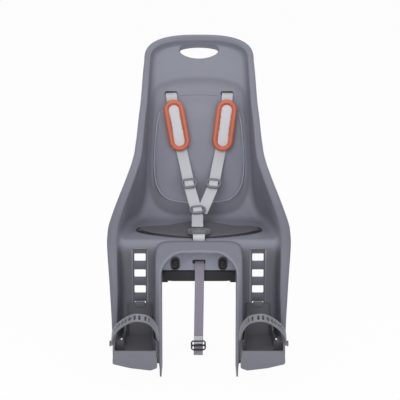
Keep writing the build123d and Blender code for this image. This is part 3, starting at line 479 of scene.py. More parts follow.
def smooth_over(obj, smooth):
    """Divides a piece once, which rounds its form."""
    smoother = obj.modifiers.new("smoother", "SUBSURF")
    smoother.levels = smoother.render_levels = 1
    settle(obj, smooth)


def walled(name, bm, material, thickness, offset=-1.0):
    """A sheet with its wall, that will be joined to another piece."""
    piece = new_piece(name, bm, material, None)
    thicken(piece, thickness, offset)
    settle(piece)
    return piece


def softened(name, bm, material, width):
    """A block with rounded edges, that will be joined to another piece."""
    piece = new_piece(name, bm, material, None)
    soften(piece, width)
    settle(piece)
    return piece


def cut(obj, cutters, smooth=40.0):
    """Cuts the prisms of a mesh in millimetres out of an object."""
    tool = new_piece("cutter", cutters, obj.data.materials[0], None)
    knife = obj.modifiers.new("cut", "BOOLEAN")
    knife.operation = "DIFFERENCE"
    knife.solver = "MANIFOLD"
    knife.object = tool
    settle(obj, smooth)
    old = tool.data
    bpy.data.objects.remove(tool)
    bpy.data.meshes.remove(old)


def join(obj, others, smooth=40.0):
    """Puts the meshes of other objects into obj, with their marks and materials."""
    pieces = [obj, *others]
    with bpy.context.temp_override(active_object=obj, object=obj, selected_objects=pieces,
                                   selected_editable_objects=pieces):
        bpy.ops.object.join()
    obj.data.set_sharp_from_angle(angle=radians(smooth))


def softened_copy(name, node, material, body, width, segments=2, slot=None):
    """A copy of a CAD node with its edges rounded, that stands for the node."""
    bm = bmesh.new()
    bm.from_mesh(frame["nodes"][node].data)
    bmesh.ops.scale(bm, vec=(1 / MM, 1 / MM, 1 / MM), verts=bm.verts)
    bmesh.ops.remove_doubles(bm, verts=bm.verts, dist=0.005)
    bmesh.ops.dissolve_limit(bm, angle_limit=radians(1.5), verts=bm.verts, edges=bm.edges)
    edges = [e for e in bm.edges if len(e.link_faces) == 2 and e.calc_face_angle(0) > radians(35)]
    bmesh.ops.bevel(bm, geom=edges, offset=width, offset_type="OFFSET", segments=segments, profile=0.5,
                    affect="EDGES", material=-1, clamp_overlap=True)
    obj = new_piece(name, bm, finishes()[material], body)
    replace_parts(obj, node)
    return obj


# Materials

class Number:
    """A shader socket that takes part in sums as a number does."""

    def __init__(self, finish, socket):
        self.finish, self.socket = finish, socket

    def math(self, operation, *values):
        """A math node with its values."""
        return self.finish.node("Math", {"operation": operation}, *values)

    def __add__(self, other):
        return self.math("ADD", self, other)

    def __sub__(self, other):
        return self.math("SUBTRACT", self, other)

    def __mul__(self, other):
        return self.math("MULTIPLY", self, other)

    def __rsub__(self, other):
        return self.math("SUBTRACT", other, self)

    __radd__ = __add__
    __rmul__ = __mul__

    def sine(self):
        """The sine of the number."""
        return self.math("SINE", self)

    def size(self):
        """The number without its sign."""
        return self.math("ABSOLUTE", self)

    def over(self, limit):
        """1 where the number is above the limit, and 0 elsewhere."""
        return self.math("GREATER_THAN", self, limit)


class Graph:
    """A tree of shader nodes."""

    def __init__(self, tree):
        self.tree = tree
        tree.nodes.clear()

    def put(self, socket, value):
        """Sets a socket, or links it."""
        if isinstance(value, Number):
            value = value.socket
        if isinstance(value, bpy.types.NodeSocket):
            self.tree.links.new(value, socket)
        elif value is not None:
            socket.default_value = value

    def node(self, kind, settings=None, *values, output=0, **named):
        """A node of a kind with its settings, its first sockets in order, and others by name."""
        made = self.tree.nodes.new("ShaderNode" + kind)
        for setting, value in (settings or {}).items():
            setattr(made, setting, value)
        for socket, value in zip(made.inputs, values):
            self.put(socket, value)
        for socket, value in named.items():
            self.put(made.inputs[socket.replace("_", " ")], value)
        result = made.outputs[output]
        return Number(self, result) if result.type == "VALUE" else result

    def node_end(self, kind, shader):
        """Closes the tree with its output."""
        end = self.tree.nodes.new(f"ShaderNodeOutput{kind}")
        self.put(end.inputs["Surface"], shader)

    def parts(self, vector):
        """The three numbers of a vector."""
        made = self.tree.nodes.new("ShaderNodeSeparateXYZ")
        self.put(made.inputs[0], vector)
        return [Number(self, output) for output in made.outputs]

    def mixed(self, factor, first, second):
        """Two shaders, mixed."""
        return self.node("MixShader", None, factor, first, second)

    def pale_rays(self):
        """1 for the rays that see the background: from the camera, in gloss and through glass."""
        seen = 0.0
        for ray in ("Is Camera Ray", "Is Glossy Ray", "Is Transmission Ray"):
            seen = self.node("Math", {"operation": "MAXIMUM"}, self.node("LightPath", output=ray), seen)
        return seen


class Finish(Graph):
    """One material: a principled shader and the nodes that feed it."""

    def __init__(self, name, colour, roughness=0.5, **constants):
        self.material = bpy.data.materials.new(name)
        self.material.use_nodes = True
        super().__init__(self.material.node_tree)
        self.shader = self.tree.nodes.new("ShaderNodeBsdfPrincipled")
        self.node_end("Material", self.shader.outputs["BSDF"])
        self.feed("Base Color", colour)
        self.feed("Roughness", roughness)
        for socket, value in constants.items():
            self.feed(socket.replace("_", " "), value)

    def feed(self, socket, value):
        """Sets a socket of the shader, or links it."""
        self.put(self.shader.inputs[socket], value)

    def place(self, scale=1.0):
        """Object coordinates, scaled."""
        coordinates = self.node("TexCoord", output="Object")
        return self.node("VectorMath", {"operation": "SCALE"}, coordinates, Scale=scale)

    def noise(self, scale, detail=2.0, roughness=0.5):
        """Noise from 0 to 1 over the piece, with scale in waves per metre."""
        return self.node("TexNoise", None, self.place(), Scale=scale, Detail=detail,
                         Roughness=roughness, output="Fac")

    def blend(self, factor, first, second):
        """A mix of two colours."""
        made = self.tree.nodes.new("ShaderNodeMix")
        made.data_type = "RGBA"
        self.put(made.inputs[0], factor)
        self.put(made.inputs[6], first)
        self.put(made.inputs[7], second)
        return made.outputs[2]

    def bump(self, height, distance, strength=1.0, under=None):
        """Bumps the surface by a height from 0 to 1, over a distance in metres."""
        return self.node("Bump", None, Height=height, Distance=distance, Strength=strength, Normal=under)

    def attribute(self, name):
        """A mark that the mesh carries."""
        return self.node("Attribute", {"attribute_name": name}, output="Fac")

    def uv(self):
        """The piece's own map, as two numbers."""
        return self.parts(self.node("UVMap", {"uv_map": "UVMap"}))[:2]


def groove_shadow(finish):
    """The painted shadow of the fine groove across the back between the harness slots: 1 on it and 0
    elsewhere.
    """
    across, depth, up = finish.parts(finish.place(1 / MM))
    rise = up - 370.5 + across * across * 0.0011
    near = (0.75 - rise.size()).over(0)
    return near * (47.0 - across.size()).over(0) * (depth - 100).over(0)


def moulded(name, colour, roughness=0.5, grain=0.00006, worn=None, speckle=0.05):
    """Moulded plastic with a fine eroded grain, cloudy gloss and slightly uneven colour; given a highlight
    colour, it also takes painted shade, painted highlights and a painted groove shadow from the mesh's marks.
    """
    finish = Finish(name, colour, roughness, Specular_IOR_Level=0.42)
    cloud = finish.noise(9.0, 3.0)
    fine = finish.noise(1500.0, 2.0)
    mix = cloud * 0.9 + (fine - 0.5) * 0.35
    base = finish.blend(mix, tint(colour, 1 - speckle), tint(colour, 1 + speckle))
    # Painted shade from the shade mark, painted highlights from the highlight mark, and a painted shadow
    # along the groove between the harness slots
    if worn:
        base = finish.blend(finish.attribute("shade"), base, tint(colour, 0.3))
        base = finish.blend(finish.attribute("worn"), base, worn)
        base = finish.blend(groove_shadow(finish) * 0.45, base, tint(colour, 0.25))
    scuffs = finish.noise(60.0, 5.0, 0.65)
    finish.feed("Base Color", base)
    finish.feed("Roughness", roughness - 0.08 + scuffs * 0.16)
    finish.feed("Normal", finish.bump(fine, grain, 0.6))
    return finish.material


def footrest_cup(colour):
    """The footrest's plastic: painted shade inside the cup, plain on its lip and its outer walls."""
    finish = Finish("footrest_cup", colour, 0.5, Specular_IOR_Level=0.42)
    side, depth, _ = finish.parts(finish.place(1 / MM))
    inside = (depth + 225.5).over(0) * (174.0 - side.size()).over(0)
    cloud = finish.noise(12.0, 3.0)
    fine = finish.noise(1500.0, 2.0)
    # Painted shade inside the cup
    dark = finish.blend(cloud, tint(colour, 0.34), tint(colour, 0.44))
    plain = finish.blend(cloud, tint(colour, 0.94), tint(colour, 1.06))
    finish.feed("Base Color", finish.blend(inside, plain, dark))
    finish.feed("Roughness", cloud * 0.14 + 0.42)
    finish.feed("Normal", finish.bump(fine, 0.00006, 0.6))
    return finish.material


def woven(name, colour, rib=0.0012, pick=0.0016, contrast=0.16):
    """Webbing: warp ribs along the strap and picks across it, on the piece's own map in metres."""
    finish = Finish(name, colour, 0.85, Sheen_Weight=0.25, Sheen_Roughness=0.5)
    across, along = finish.uv()
    ribs = (across * (pi / rib)).sine().size()
    picks = (along * (2 * pi / pick) + across * (pi / rib)).sine() * 0.5 + 0.5
    height = ribs * 0.65 + picks * 0.35
    fuzz = finish.noise(2500.0, 2.0)
    soil = finish.noise(25.0, 3.0)
    shade = height * contrast + (1 - contrast) + (fuzz - 0.5) * 0.08 + (soil - 0.5) * 0.06
    dark = tint(colour, 0.55)
    finish.feed("Base Color", finish.blend(shade, dark, colour))
    finish.feed("Normal", finish.bump(height, 0.00025, 0.7, finish.bump(fuzz, 0.00008, 0.5)))
    return finish.material


def swatch(name, description, *screen):
    """A colour property, with its default in screen values."""
    return FloatVectorProperty(name=name, description=description, subtype="COLOR", size=4, min=0, max=1,
                               default=paint(*screen))


def distance(name, description, default, most, least=0.0):
    """A length property in metres."""
    return FloatProperty(name=name, description=description, default=default, min=least, max=most,
                         subtype="DISTANCE", unit="LENGTH")


class SeatFinishes(bpy.types.PropertyGroup):
    """Colours of the seat."""
    shell: swatch("Shell", "Grey of the moulded shell", 129, 131, 144)
    footrest: swatch("Footrests", "Grey of the footrests", 112, 112, 122)
    pad: swatch("Seat pad", "Dark grey of the foam pad", 84, 82, 90)
    trim: swatch("Orange ring", "Colour of the ring round each shoulder pad", 196, 104, 76)
    insert: swatch("Insert", "Grey of the knitted inserts", 204, 206, 212)
    webbing: swatch("Harness", "Light grey of the harness webbing", 194, 195, 201)
    belt: swatch("Safety belt", "Grey of the hanging belt", 152, 146, 160)
    adjuster: swatch("Adjusters", "Grey of the strap adjusters", 112, 114, 124)
    black: swatch("Base", "Black of the base and the lock", 46, 42, 48)
    foot_strap: swatch("Foot straps", "Grey of the foot straps", 120, 120, 128)


class SeatSizes(bpy.types.PropertyGroup):
    """Sizes of the seat's details and the light."""
    row_spacing: distance("Row spacing", "Distance between the rows of the shell's mesh", 0.0045, 0.02, 0.002)
    rim_crown: distance("Rim crown", "How far the rim bulges between its edges", 0.0016, 0.004)
    panel_hollow: distance("Back hollow", "Depth of the hollow in the back", 0.0046, 0.006)
    ridge: distance("Panel ridge", "Height of the thin ridge round the back panel", 0.0019, 0.003)
    light: FloatProperty(name="Light", description="Strength of the studio light", default=1.0, min=0, max=4)


def finishes():
    """The materials of the seat, made once."""
    made = bpy.data.materials
    if "shell_plastic" not in made:
        colours = bpy.context.scene.seat_finishes
        # The shell's lighter tint is the colour of its painted highlights
        moulded("shell_plastic", tuple(colours.shell), 0.52, worn=tint(colours.shell, 1.75))
        moulded("footrest_plastic", tint(colours.footrest, 0.5), 0.5)
        # Painted light: the plate in the arch is the shell grey made lighter, so that it looks lit
        moulded("plate_plastic", tint(colours.shell, 1.6), 0.5)
        footrest_cup(tuple(colours.footrest))
        moulded("foam_skin", tuple(colours.pad), 0.72, 0.00012)
        moulded("trim_rubber", tuple(colours.trim), 0.48, 0.00005, speckle=0.04)
        moulded("welt_rubber", paint(44, 42, 46), 0.6)
        woven("insert_knit", tuple(colours.insert), 0.0022, 0.0018, 0.22)
        woven("harness_webbing", tuple(colours.webbing))
        woven("belt_webbing", tuple(colours.belt), 0.001, 0.0014)
        moulded("adjuster_plastic", tuple(colours.adjuster), 0.32)
        moulded("black_plastic", tuple(colours.black), 0.36)
        moulded("foot_strap_rubber", tuple(colours.foot_strap), 0.46)
        moulded("buckle_plastic", paint(104, 104, 111), 0.42, 0.0003, speckle=0.3)
        steel = Finish("zinc_steel", paint(176, 176, 178), 0.34, Metallic=1.0)
        brushed = steel.noise(700.0, 4.0)
        steel.feed("Base Color", steel.blend(brushed, paint(158, 158, 160), paint(196, 196, 198)))
        steel.feed("Roughness", brushed * 0.2 + 0.24)
        steel.feed("Normal", steel.bump(brushed, 0.00003, 0.4))
        moulded("jaw_coat", paint(44, 44, 47), 0.55, 0.0001)
    return made


# The shell

def cross_section(floor, rim, outside, lip, spine, corner, edge, crown):
    """One row of the shell's front face, from the middle to the lip."""
    corners = [(spine, 0), (floor, corner), (rim, edge), (outside, 4.5), (lip, 0)]
    row = rounded(corners, ROW_STRAIGHTS, ROW_BENDS)
    way = (rim - floor).normalized()
    for k in range(1, 6):
        row[RIM_COLUMN + k] += way * (crown * sin(pi * k / 6))
    return row


def station_row(at, knots, crown):
    """The row at one distance down the stations."""
    floor_y, floor_z, rim_y, rim_z, floor_half, rim_half, flange = flow(STATIONS, knots, at)
    way = Vector((0, rim_y - floor_y, rim_z - floor_z)).normalized()
    floor = Vector((floor_half, floor_y, floor_z))
    rim = Vector((rim_half, rim_y, rim_z))
    outside = rim + Vector((flange, 0, 0))
    corner = 15.0 if floor_z > 90 else 12.0
    spine = Vector((0, floor_y, floor_z))
    return cross_section(floor, rim, outside, outside - way * 9, spine, corner, 4.0, crown)


def head_row(turn, crown):
    """The row at one turn round the head: 0 at its side and a quarter turn at its top."""
    c, s = max(cos(turn), 0.0) ** (2 / 2.7), sin(turn) ** (2 / 2.7)
    top = sin(turn) ** 2
    depth = 20 - 7 * top
    floor = Vector((103.5 * c, 38 * s, 0))
    rim = Vector((112.3 * c, 47.5 * s, depth))
    outside = Vector((125.5 * c, 60 * s, depth + 0.5 * top))
    lip = outside - Vector((0, 0, 9))
    spine = Vector((0, min(floor.y, 24.0), 0))
    row = cross_section(floor, rim, outside, lip, spine, 15 + 15 * top, 4 + 5 * top, crown)
    return [HEAD @ point for point in row]


def relief(x, z, hollow_depth):
    """How far the back lies behind its plain surface, and how much painted shade the moulding gets there."""
    hollow = depth_inside(HOLLOW_LINE, x, z)
    panel = depth_inside(PANEL_LINE, x, z)
    # The upper back, above the panel, is shallower and plainer than the rest
    high = ease((z - 318) / 40)
    deep = hollow_depth * (1 - 0.25 * high) * ease((hollow + 2) / (13 + 9 * high))
    proud = ease((panel + 2.5) / 5) * (1 - high) * 0.85
    low = ease((200 - z) / 60)
    # Painted shade: a band in the concave turn between the panel and the hollow, darker low down, and a soft
    # band under the hollow's top arc
    shadow = ease(hollow / 7) * (1 - ease((panel + 5) / 5)) * (0.12 + 0.4 * low) * (1 - high)
    arc_shade = ease((hollow + 4) / 7) * (1 - ease((hollow - 3) / 12)) * high * 0.22
    return deep * (1 - proud), shadow + arc_shade


def shading(column, z):
    """How much painted shade darkens the moulding: in the legs and on the low rims."""
    rim = ease((column - RIM_COLUMN + 8) / 7)
    low = ease((270 - z) / 150)
    leg = ease((101 - z) / 22)
    return (0.06 + 0.76 * leg) * (1 - rim) + (0.18 + 0.36 * low) * rim


class SEAT_OT_shell(bpy.types.Operator):
    """Make the moulded shell with its rim, arch, ladders and pedestal"""
    bl_idname = "seat.shell"
    bl_label = "Seat shell"

    def execute(self, context):
        sizes = context.scene.seat_sizes
        plastic = finishes()["shell_plastic"]
        crown = sizes.rim_crown / MM
        knots = knots_of([station[:2] for station in STATIONS])
        turns = 46
        rows = [head_row(pi / 2 * (1 - k / turns), crown) for k in range(turns)]
        count = round(knots[-1] * MM / sizes.row_spacing)
        rows += [station_row(knots[-1] * k / count, knots, crown) for k in range(count + 1)]
        bm = bmesh.new()
        bm.verts.layers.float.new("worn")
        shade = bm.verts.layers.float.new("shade")
        made = grid(bm, SECTION_CELLS, len(rows) - 1, lambda column, row: rows[row][column])
        uv = bm.loops.layers.uv.verify()
        # Painted shade: the legs' channels and the low rims are darkened through the shade mark
        for face in bm.faces:
            for corner in face.loops:
                corner.vert[shade] = shading(corner[uv].uv.x * SECTION_CELLS, corner.vert.co.z)
        # The back alone has a hollow, so the pan, the wings and the head are left out
        for vert in made:
            x, y, z = vert.co
            if 98 < z < 420 and y > 60 and abs(x) < 124:
                back, dark = relief(x, z, sizes.panel_hollow / MM)
                vert.co += Vector((0, 0.96, -0.28)) * back
                # The hollow's painted shade goes into the shade mark
                vert[shade] += dark
        mirror_sheet(bm)
        shell = new_piece("shell_moulding", bm, plastic, "seat")
        thicken(shell, WALL)
        settle(shell)
        cut(shell, self.openings())
        parts = [self.arch_rib(plastic), self.handle_tube(plastic), self.pedestal(plastic),
                 self.panel_ridge(shell, sizes)]
        parts += self.ladders(plastic) + self.leg_feet(plastic)
        join(shell, parts)
        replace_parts(shell, "seat_shell")
        self.web_plate(finishes()["plate_plastic"])
        return {"FINISHED"}

    def openings(self):
        """The holes through the sheet: handle, harness slots, crotch slot, ladders and arch."""
        bm = bmesh.new()
        slab(bm, handle_outline(0), HEAD, -12, 8)
        for side in (-1, 1):
            slab(bm, box_outline(30, 10, 4.9, side * SLOT_SIDE, SLOT_UP), front(205), 0, 40)
            slab(bm, box_outline(30, 188, 3, 0, LADDER_MIDDLE), leg_frame(side * LADDER_SIDE), -8, 8)
        slab(bm, box_outline(29, 21, 2, 0, CROTCH_SLOT_DEPTH), Matrix.Translation((0, 0, 80)), 0, 40)
        arch = arch_line([2, 4, 4], [6, 6])[:-1]
        arch[0] = Vector((ARCH[0][0], -200))
        slab(bm, arch + mirrored(arch), front(-60), 0, 150)
        return bm

    def panel_ridge(self, shell, sizes):
        """The thin moulded ridge round the lower part of the back panel."""
        low = [point for point in PANEL_LINE if point[1] < 345]
        half = smooth_line([Vector(point) for point in low], 70)
        line = half + mirrored(half[:-1])
        path = []
        for point in line:
            start = Vector((point.x, -300, point.y)) * MM
            found, spot, _, _ = shell.ray_cast(start, Vector((0, 1, 0)))
            if not found:
                raise RuntimeError("The panel ridge misses the back")
            path.append(spot / MM)
        bm = bmesh.new()
        tube(bm, path, 3.2, 2 * sizes.ridge / MM)
        bmesh.ops.recalc_face_normals(bm, faces=bm.faces)
        ridge = new_piece("panel_ridge", bm, shell.data.materials[0], None)
        # The ridge is coloured all over as a painted highlight line
        mark(ridge, "worn", 1.0)
        return ridge

    def arch_rib(self, plastic):
        """The rib round the arch: tunnel wall, front band and outer wall."""
        inner = arch_line([34, 6, 16], [12, 12])
        middle = Vector((0, 30))
        reach = Vector((APRON_SIDE, APRON_TOP - middle.y))
        outer = []
        for point in inner:
            way = point - middle
            # The blades' outer edge is straight, and an oval with full corners runs over the arch
            if way.y < 0:
                outer.append(Vector((APRON_SIDE - 9.5 * ease((-92 - point.y) / 66), point.y)))
            else:
                outer.append(middle + way / ((way.x / reach.x) ** 9 + (way.y / reach.y) ** 9) ** (1 / 9))
        heights = [-z for _, z in BLADE_FRONT]
        depths = [(y,) for y, _ in BLADE_FRONT]

        def edge(z):
            return flow(depths, heights, -z)[0]

        rows = []
        for a, b in zip(inner, outer):
            low_a, low_b = edge(a.y), edge(b.y)
            top = ease((b.y - 60) / 30)
            rear_a = leg_depth(a.y) + 14 if a.y < 10 else -69.0
            rear_b = (leg_depth(b.y) + 2) * (1 - top) - 96 * top
            corners = [(Vector((a.x, rear_a, a.y)), 0), (Vector((a.x, low_a, a.y)), 3.5),
                       (Vector((b.x, low_b, b.y)), 6 + 4 * top), (Vector((b.x, rear_b, b.y - 1.4 * top)), 0)]
            rows.append(rounded(corners, [6, 6, 6], [4, 4]))
        bm = bmesh.new()
        worn = bm.verts.layers.float.new("worn")
        shade = bm.verts.layers.float.new("shade")
        made = grid(bm, RIB_CELLS, len(rows) - 1, lambda column, row: rows[row][column])
        uv = bm.loops.layers.uv.verify()
        for vert in made:
            column = vert.link_loops[0][uv].uv.x * RIB_CELLS
            # Painted shade on the rib, deeper towards the feet, and a painted highlight along the bend at the
            # arch's inner edge
            vert[shade] = 0.46 + 0.2 * ease((60 - vert.co.z) / 60)
            vert[worn] = 0.42 * max(0.0, 1 - abs(column - 8) / 3)
        mirror_sheet(bm)
        return walled("arch_rib", bm, plastic, 3.0)

    def handle_tube(self, plastic):
        """The turned-back wall of the handle hole."""
        ahead, behind = handle_outline(0), handle_outline(1)
        bm = bmesh.new()
        steps = 5

        def place(column, row):
            a, b = ahead[column % len(ahead)], behind[column % len(behind)]
            t = row / steps
            point = a.lerp(b, ease(t) * 0.9 + t * 0.1)
            return HEAD @ Vector((*point, 0.3 - 14 * t))

        grid(bm, len(ahead), steps, place, closed=True)
        bmesh.ops.recalc_face_normals(bm, faces=bm.faces)
        return walled("handle_wall", bm, plastic, 2.5, 1.0)

    def web_plate(self, plastic):
        """The plate in the arch, with its two cups and the belt's slot."""
        arch = rounded([(Vector((x + 2, max(z, 22) + 2)), r) for x, z, r in ARCH], [2, 2, 6], [8, 8])
        bm = bmesh.new()
        slab(bm, arch[:-1] + mirrored(arch[:-1]), front(PLATE_FRONT), -WALL, 0)
        plate = new_piece("arch_plate", bm, plastic, "seat")
        holes = bmesh.new()
        ovals = [box_outline(CUP_WIDTH, CUP_HEIGHT, 7.9, side * BOLT_SIDE, BOLT_UP) for side in (-1, 1)]
        for oval in ovals:
            slab(holes, oval, front(-80), -30, 0)
        slab(holes, box_outline(28, 9, 1.5, 0, BELT_SLOT_UP), front(-80), -30, 0)
        cut(plate, holes)
        soften(plate, 0.7)
        settle(plate)
        cups = []
        for side, oval in zip((-1, 1), ovals):
            bm = bmesh.new()
            verts = [bm.verts.new(front(-62) @ Vector((*point, 0))) for point in oval]
            floor = bm.faces.new(verts)
            walls = bmesh.ops.extrude_edge_only(bm, edges=floor.edges)["geom"]
            ring = [item for item in walls if isinstance(item, bmesh.types.BMVert)]
            bmesh.ops.translate(bm, verts=ring, vec=(0, -CUP_DEPTH, 0))
            bmesh.ops.recalc_face_normals(bm, faces=bm.faces)
            if floor.normal.y > 0:
                bmesh.ops.reverse_faces(bm, faces=bm.faces)
            cup = walled("bolt_cup", bm, finishes()["shell_plastic"], 2.5)
            hole = bmesh.new()
            slab(hole, box_outline(6.4, 6.4, 3.2, side * BOLT_SIDE, BOLT_UP), front(-50), -10, 30)
            cut(cup, hole)
            mark(cup, "shade", 1.0)
            cups.append(cup)
        join(plate, cups)

    def pedestal(self, plastic):
        """The plain walls under the pan."""
        bm = bmesh.new()
        block = bmesh.ops.create_cube(bm, size=1.0)["verts"]
        bmesh.ops.scale(bm, vec=PEDESTAL_SIZE, verts=block)
        bmesh.ops.translate(bm, vec=PEDESTAL_MIDDLE, verts=block)
        open_sides = [face for face in bm.faces if abs(face.normal.z) > 0.9 or face.normal.y < -0.9]
        bmesh.ops.delete(bm, geom=open_sides, context="FACES_ONLY")
        upright = [edge for edge in bm.edges if abs((edge.verts[0].co - edge.verts[1].co).z) > 50]
        corners = [edge for edge in upright if edge.verts[0].co.y > 0]
        bmesh.ops.bevel(bm, geom=corners, offset=10, offset_type="OFFSET", segments=5, profile=0.5,
                        affect="EDGES", material=-1)
        return walled("pedestal", bm, plastic, WALL)

    def ladders(self, plastic):
        """The recess in each leg, with the four holes that the footrest hooks into."""
        made = []
        for side in (-1, 1):
            bm = bmesh.new()
            place = leg_frame(side * LADDER_SIDE)
            slab(bm, box_outline(37, 191, 5, 0, LADDER_MIDDLE), place, -7.5, -0.6)
            tray = new_piece("ladder", bm, plastic, None)
            holes = bmesh.new()
            slab(holes, box_outline(30, 188, 3, 0, LADDER_MIDDLE), place, -4, 2)
            cut(tray, holes)
            holes = bmesh.new()
            for k in range(4):
                level = LADDER_TOP_HOLE - LADDER_PITCH * k
                slab(holes, box_outline(24, 16, 2, 0, level), place, -9, 1)
            cut(tray, holes)
            soften(tray, 0.5)
            settle(tray)
            # Painted shade, as on the leg channel round the ladder
            mark(tray, "shade", 0.84)
            made.append(tray)
        return made

    def leg_feet(self, plastic):
        """The legs' rear wall below the rims."""
        made = []
        for side in (-1, 1):
            bm = bmesh.new()
            foot = outline([(side * 81, -165, 1), (side * 108, -160, 12), (side * 150, -120, 14),
                            (side * 152, -100, 0), (side * 81, -100, 0)])
            slab(bm, foot, leg_frame(), -WALL, 0)
            wall = softened("leg_foot", bm, plastic, 1.0)
            # Painted shade, as on the leg channels
            mark(wall, "shade", 0.74)
            made.append(wall)
        return made


def handle_outline(rear):
    """The handle hole on the head: the front edge, or the smaller opening behind it."""
    wide, top, crown = (44.5, 26, 6) if rear else (47, 38.5, 1.5)
    below = [Vector((-wide * cos(pi * k / 20), 23 - 17 * sin(pi * k / 20) ** 1.5)) for k in range(21)]
    above = []
    for k in range(17):
        turn = pi * k / 16
        level = sin(turn) ** 0.35 if 0 < k < 16 else 0
        up = 24 + (top - 24 + crown * sin(turn)) * level
        above.append(Vector((wide * cos(turn) * (1 - 0.06 * level), up)))
    return below + above[1:-1]


# Soft pieces and webbing

def ribbon(name, path, width, finish, out=None):
    """A flat strap on the seat along a path, with its map in metres."""
    cells = 8
    knots = knots_of(path)
    bm = bmesh.new()

    def place(column, row):
        way = way_along(path, row)
        normal = Vector((0, -way.z, way.y)).normalized() if out is None else Vector(out)
        across = way.cross(normal).normalized()
        if across.x < 0:
            across = -across
        return path[row] + across * (width * (column / cells - 0.5))

    grid(bm, cells, len(path) - 1, place)
    uv = bm.loops.layers.uv.verify()
    for face in bm.faces:
        for corner in face.loops:
            u, v = corner[uv].uv
            corner[uv].uv = (u * width * MM, knots[round(v * (len(path) - 1))] * MM)
    bmesh.ops.recalc_face_normals(bm, faces=bm.faces)
    strap = new_piece(name, bm, finishes()[finish], "seat")
    thicken(strap, WEBBING, 0.0)
    soften(strap, 0.5, 2, 60)
    return strap


def strap_path(front_view, side_view, cells):
    """The middle line of a strap from its two views."""
    heights = [-z for _, z in front_view]
    depths = [-z for _, z in side_view]
    top = min(-heights[0], -depths[0])
    low = max(-heights[-1], -depths[-1])
    path = []
    for k in range(cells + 1):
        z = top + (low - top) * k / cells
        x = flow([(x,) for x, _ in front_view], heights, -z)[0]
        y = flow([(y,) for y, _ in side_view], depths, -z)[0]
        path.append(Vector((x, y, z)))
    return path


class SEAT_OT_harness(bpy.types.Operator):
    """Make the shoulder straps, the lower strap and the crotch strap"""
    bl_idname = "seat.harness"
    bl_label = "Harness webbing"

    def execute(self, context):
        for name, path, node in (
                ("left_harness_strap", strap_path(LEFT_STRAP, SIDE_VIEW, 70), "left_shoulder_strap"),
                ("right_harness_strap", strap_path(RIGHT_STRAP, RIGHT_SIDE_VIEW, 70), "right_shoulder_strap"),
                ("lower_harness_strap", smooth_line(LOWER_STRAP, 30), "lower_strap"),
                ("crotch_harness_strap", smooth_line(CROTCH_STRAP, 20), "crotch_strap")):
            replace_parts(ribbon(name, path, STRAP_WIDTH, "harness_webbing"), node)
        return {"FINISHED"}


class SEAT_OT_belt(bpy.types.Operator):
    """Make the safety belt that hangs from the plate"""
    bl_idname = "seat.belt"
    bl_label = "Safety belt"

    def execute(self, context):
        path = smooth_line(BELT, 80)
        belt = ribbon("safety_belt", path, BELT_WIDTH, "belt_webbing", BELT_OUT)
        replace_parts(belt, "safety_strap")
        fold = [Vector((-1.3 - k / 60, -90.6 - k * 0.09, -119 - 1.7 * k)) for k in range(11)]
        ribbon("belt_fold", fold, BELT_WIDTH - 0.6, "insert_knit", BELT_OUT)
        return {"FINISHED"}


def ring(bm, path, profile, place):
    """Sweeps a closed profile of (outward, up) along a closed outline, drawn anticlockwise."""
    def corner(column, row):
        here, before, after = path[row % len(path)], path[row - 1], path[(row + 1) % len(path)]
        way = (after - before).normalized()
        out, up = profile[column % len(profile)]
        return place @ Vector((here.x + way.y * out, here.y - way.x * out, up))

    made = grid(bm, len(profile), len(path), corner, closed=True)
    bmesh.ops.recalc_face_normals(bm, faces=list({face for vert in made for face in vert.link_faces}))


def round_profile(width, height, cells=16, groove=None):
    """A round or oval section that stands on its frame, with a groove at one angle."""
    points = []
    for k in range(cells):
        turn = 2 * pi * k / cells
        size = 1.0
        if groove is not None and abs(turn - groove) < 0.3:
            size = 0.86
        points.append((width / 2 * cos(turn) * size, height / 2 * (1 + sin(turn) * size)))
    return points


def stadium(length, width, cells=14):
    """An upright oval with straight sides, drawn anticlockwise."""
    radius, straight = width / 2, (length - width) / 2
    points = []
    for start, end, side in ((0, straight, -radius), (pi, -straight, radius)):
        for k in range(cells + 1):
            turn = start + pi * k / cells
            points.append(Vector((radius * cos(turn), end + radius * sin(turn))))
        points += [Vector((side, end * (1 - k / 5))) for k in range(1, 10)]
    return points


def inflate(obj, cell, most=1.6):
    """Fills a closed form as foam does: cloth under pressure, held within reach of its plain shape."""
    remesh = obj.modifiers.new("cells", "REMESH")
    remesh.mode = "VOXEL"
    remesh.voxel_size = cell * MM
    settle(obj)
    plain = [vert.co.copy() for vert in obj.data.vertices]
    cloth = obj.modifiers.new("filling", "CLOTH")
    cloth.settings.use_pressure = True
    cloth.settings.uniform_pressure_force = 4.0
    cloth.settings.effector_weights.gravity = 0
    cloth.settings.tension_stiffness = 40
    cloth.settings.compression_stiffness = 40
    for frame_number in range(1, 21):
        bpy.context.scene.frame_set(frame_number)
    settle(obj)
    for vert, before in zip(obj.data.vertices, plain):
        move = vert.co - before
        if move.length > most * MM:
            move *= most * MM / move.length
        vert.co = before + move
    bpy.context.scene.frame_set(1)
    smooth_over(obj, 60)


class SEAT_OT_seat_pad(bpy.types.Operator):
    """Make the foam pad on the pan, with the dark welt round its edge that also paints the shadow line under
    it
    """
    bl_idname = "seat.seat_pad"
    bl_label = "Seat pad"

    def execute(self, context):
        made = finishes()
        half = smooth_line([Vector((x, y - PAN_REAR)) for x, y in PAD_HALF], 64)
        around = half + mirrored(half[1:-1])
        place = plane((0, PAN_REAR, PAN_UP + 0.8), (1, 0, 0), (0, cos(PAN_TILT), -sin(PAN_TILT)))
        middle = Vector((0, -96))
        bm = bmesh.new()
        slab(bm, [point.lerp(middle, 0.016) for point in around], place, 0.4, 4.6)
        pad = new_piece("seat_cushion", bm, made["foam_skin"], "seat")
        inflate(pad, 4.0)
        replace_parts(pad, "seat_pad")
        bm = bmesh.new()
        # The dark welt stands partly for the painted shadow line under the pad's edge
        edge = [point.lerp(middle, 0.008) for point in reversed(around)]
        ring(bm, edge, round_profile(2.4, 2.6), place)
        welt_and_shadow = new_piece("cushion_welt", bm, made["welt_rubber"], "seat")
        return {"FINISHED"}


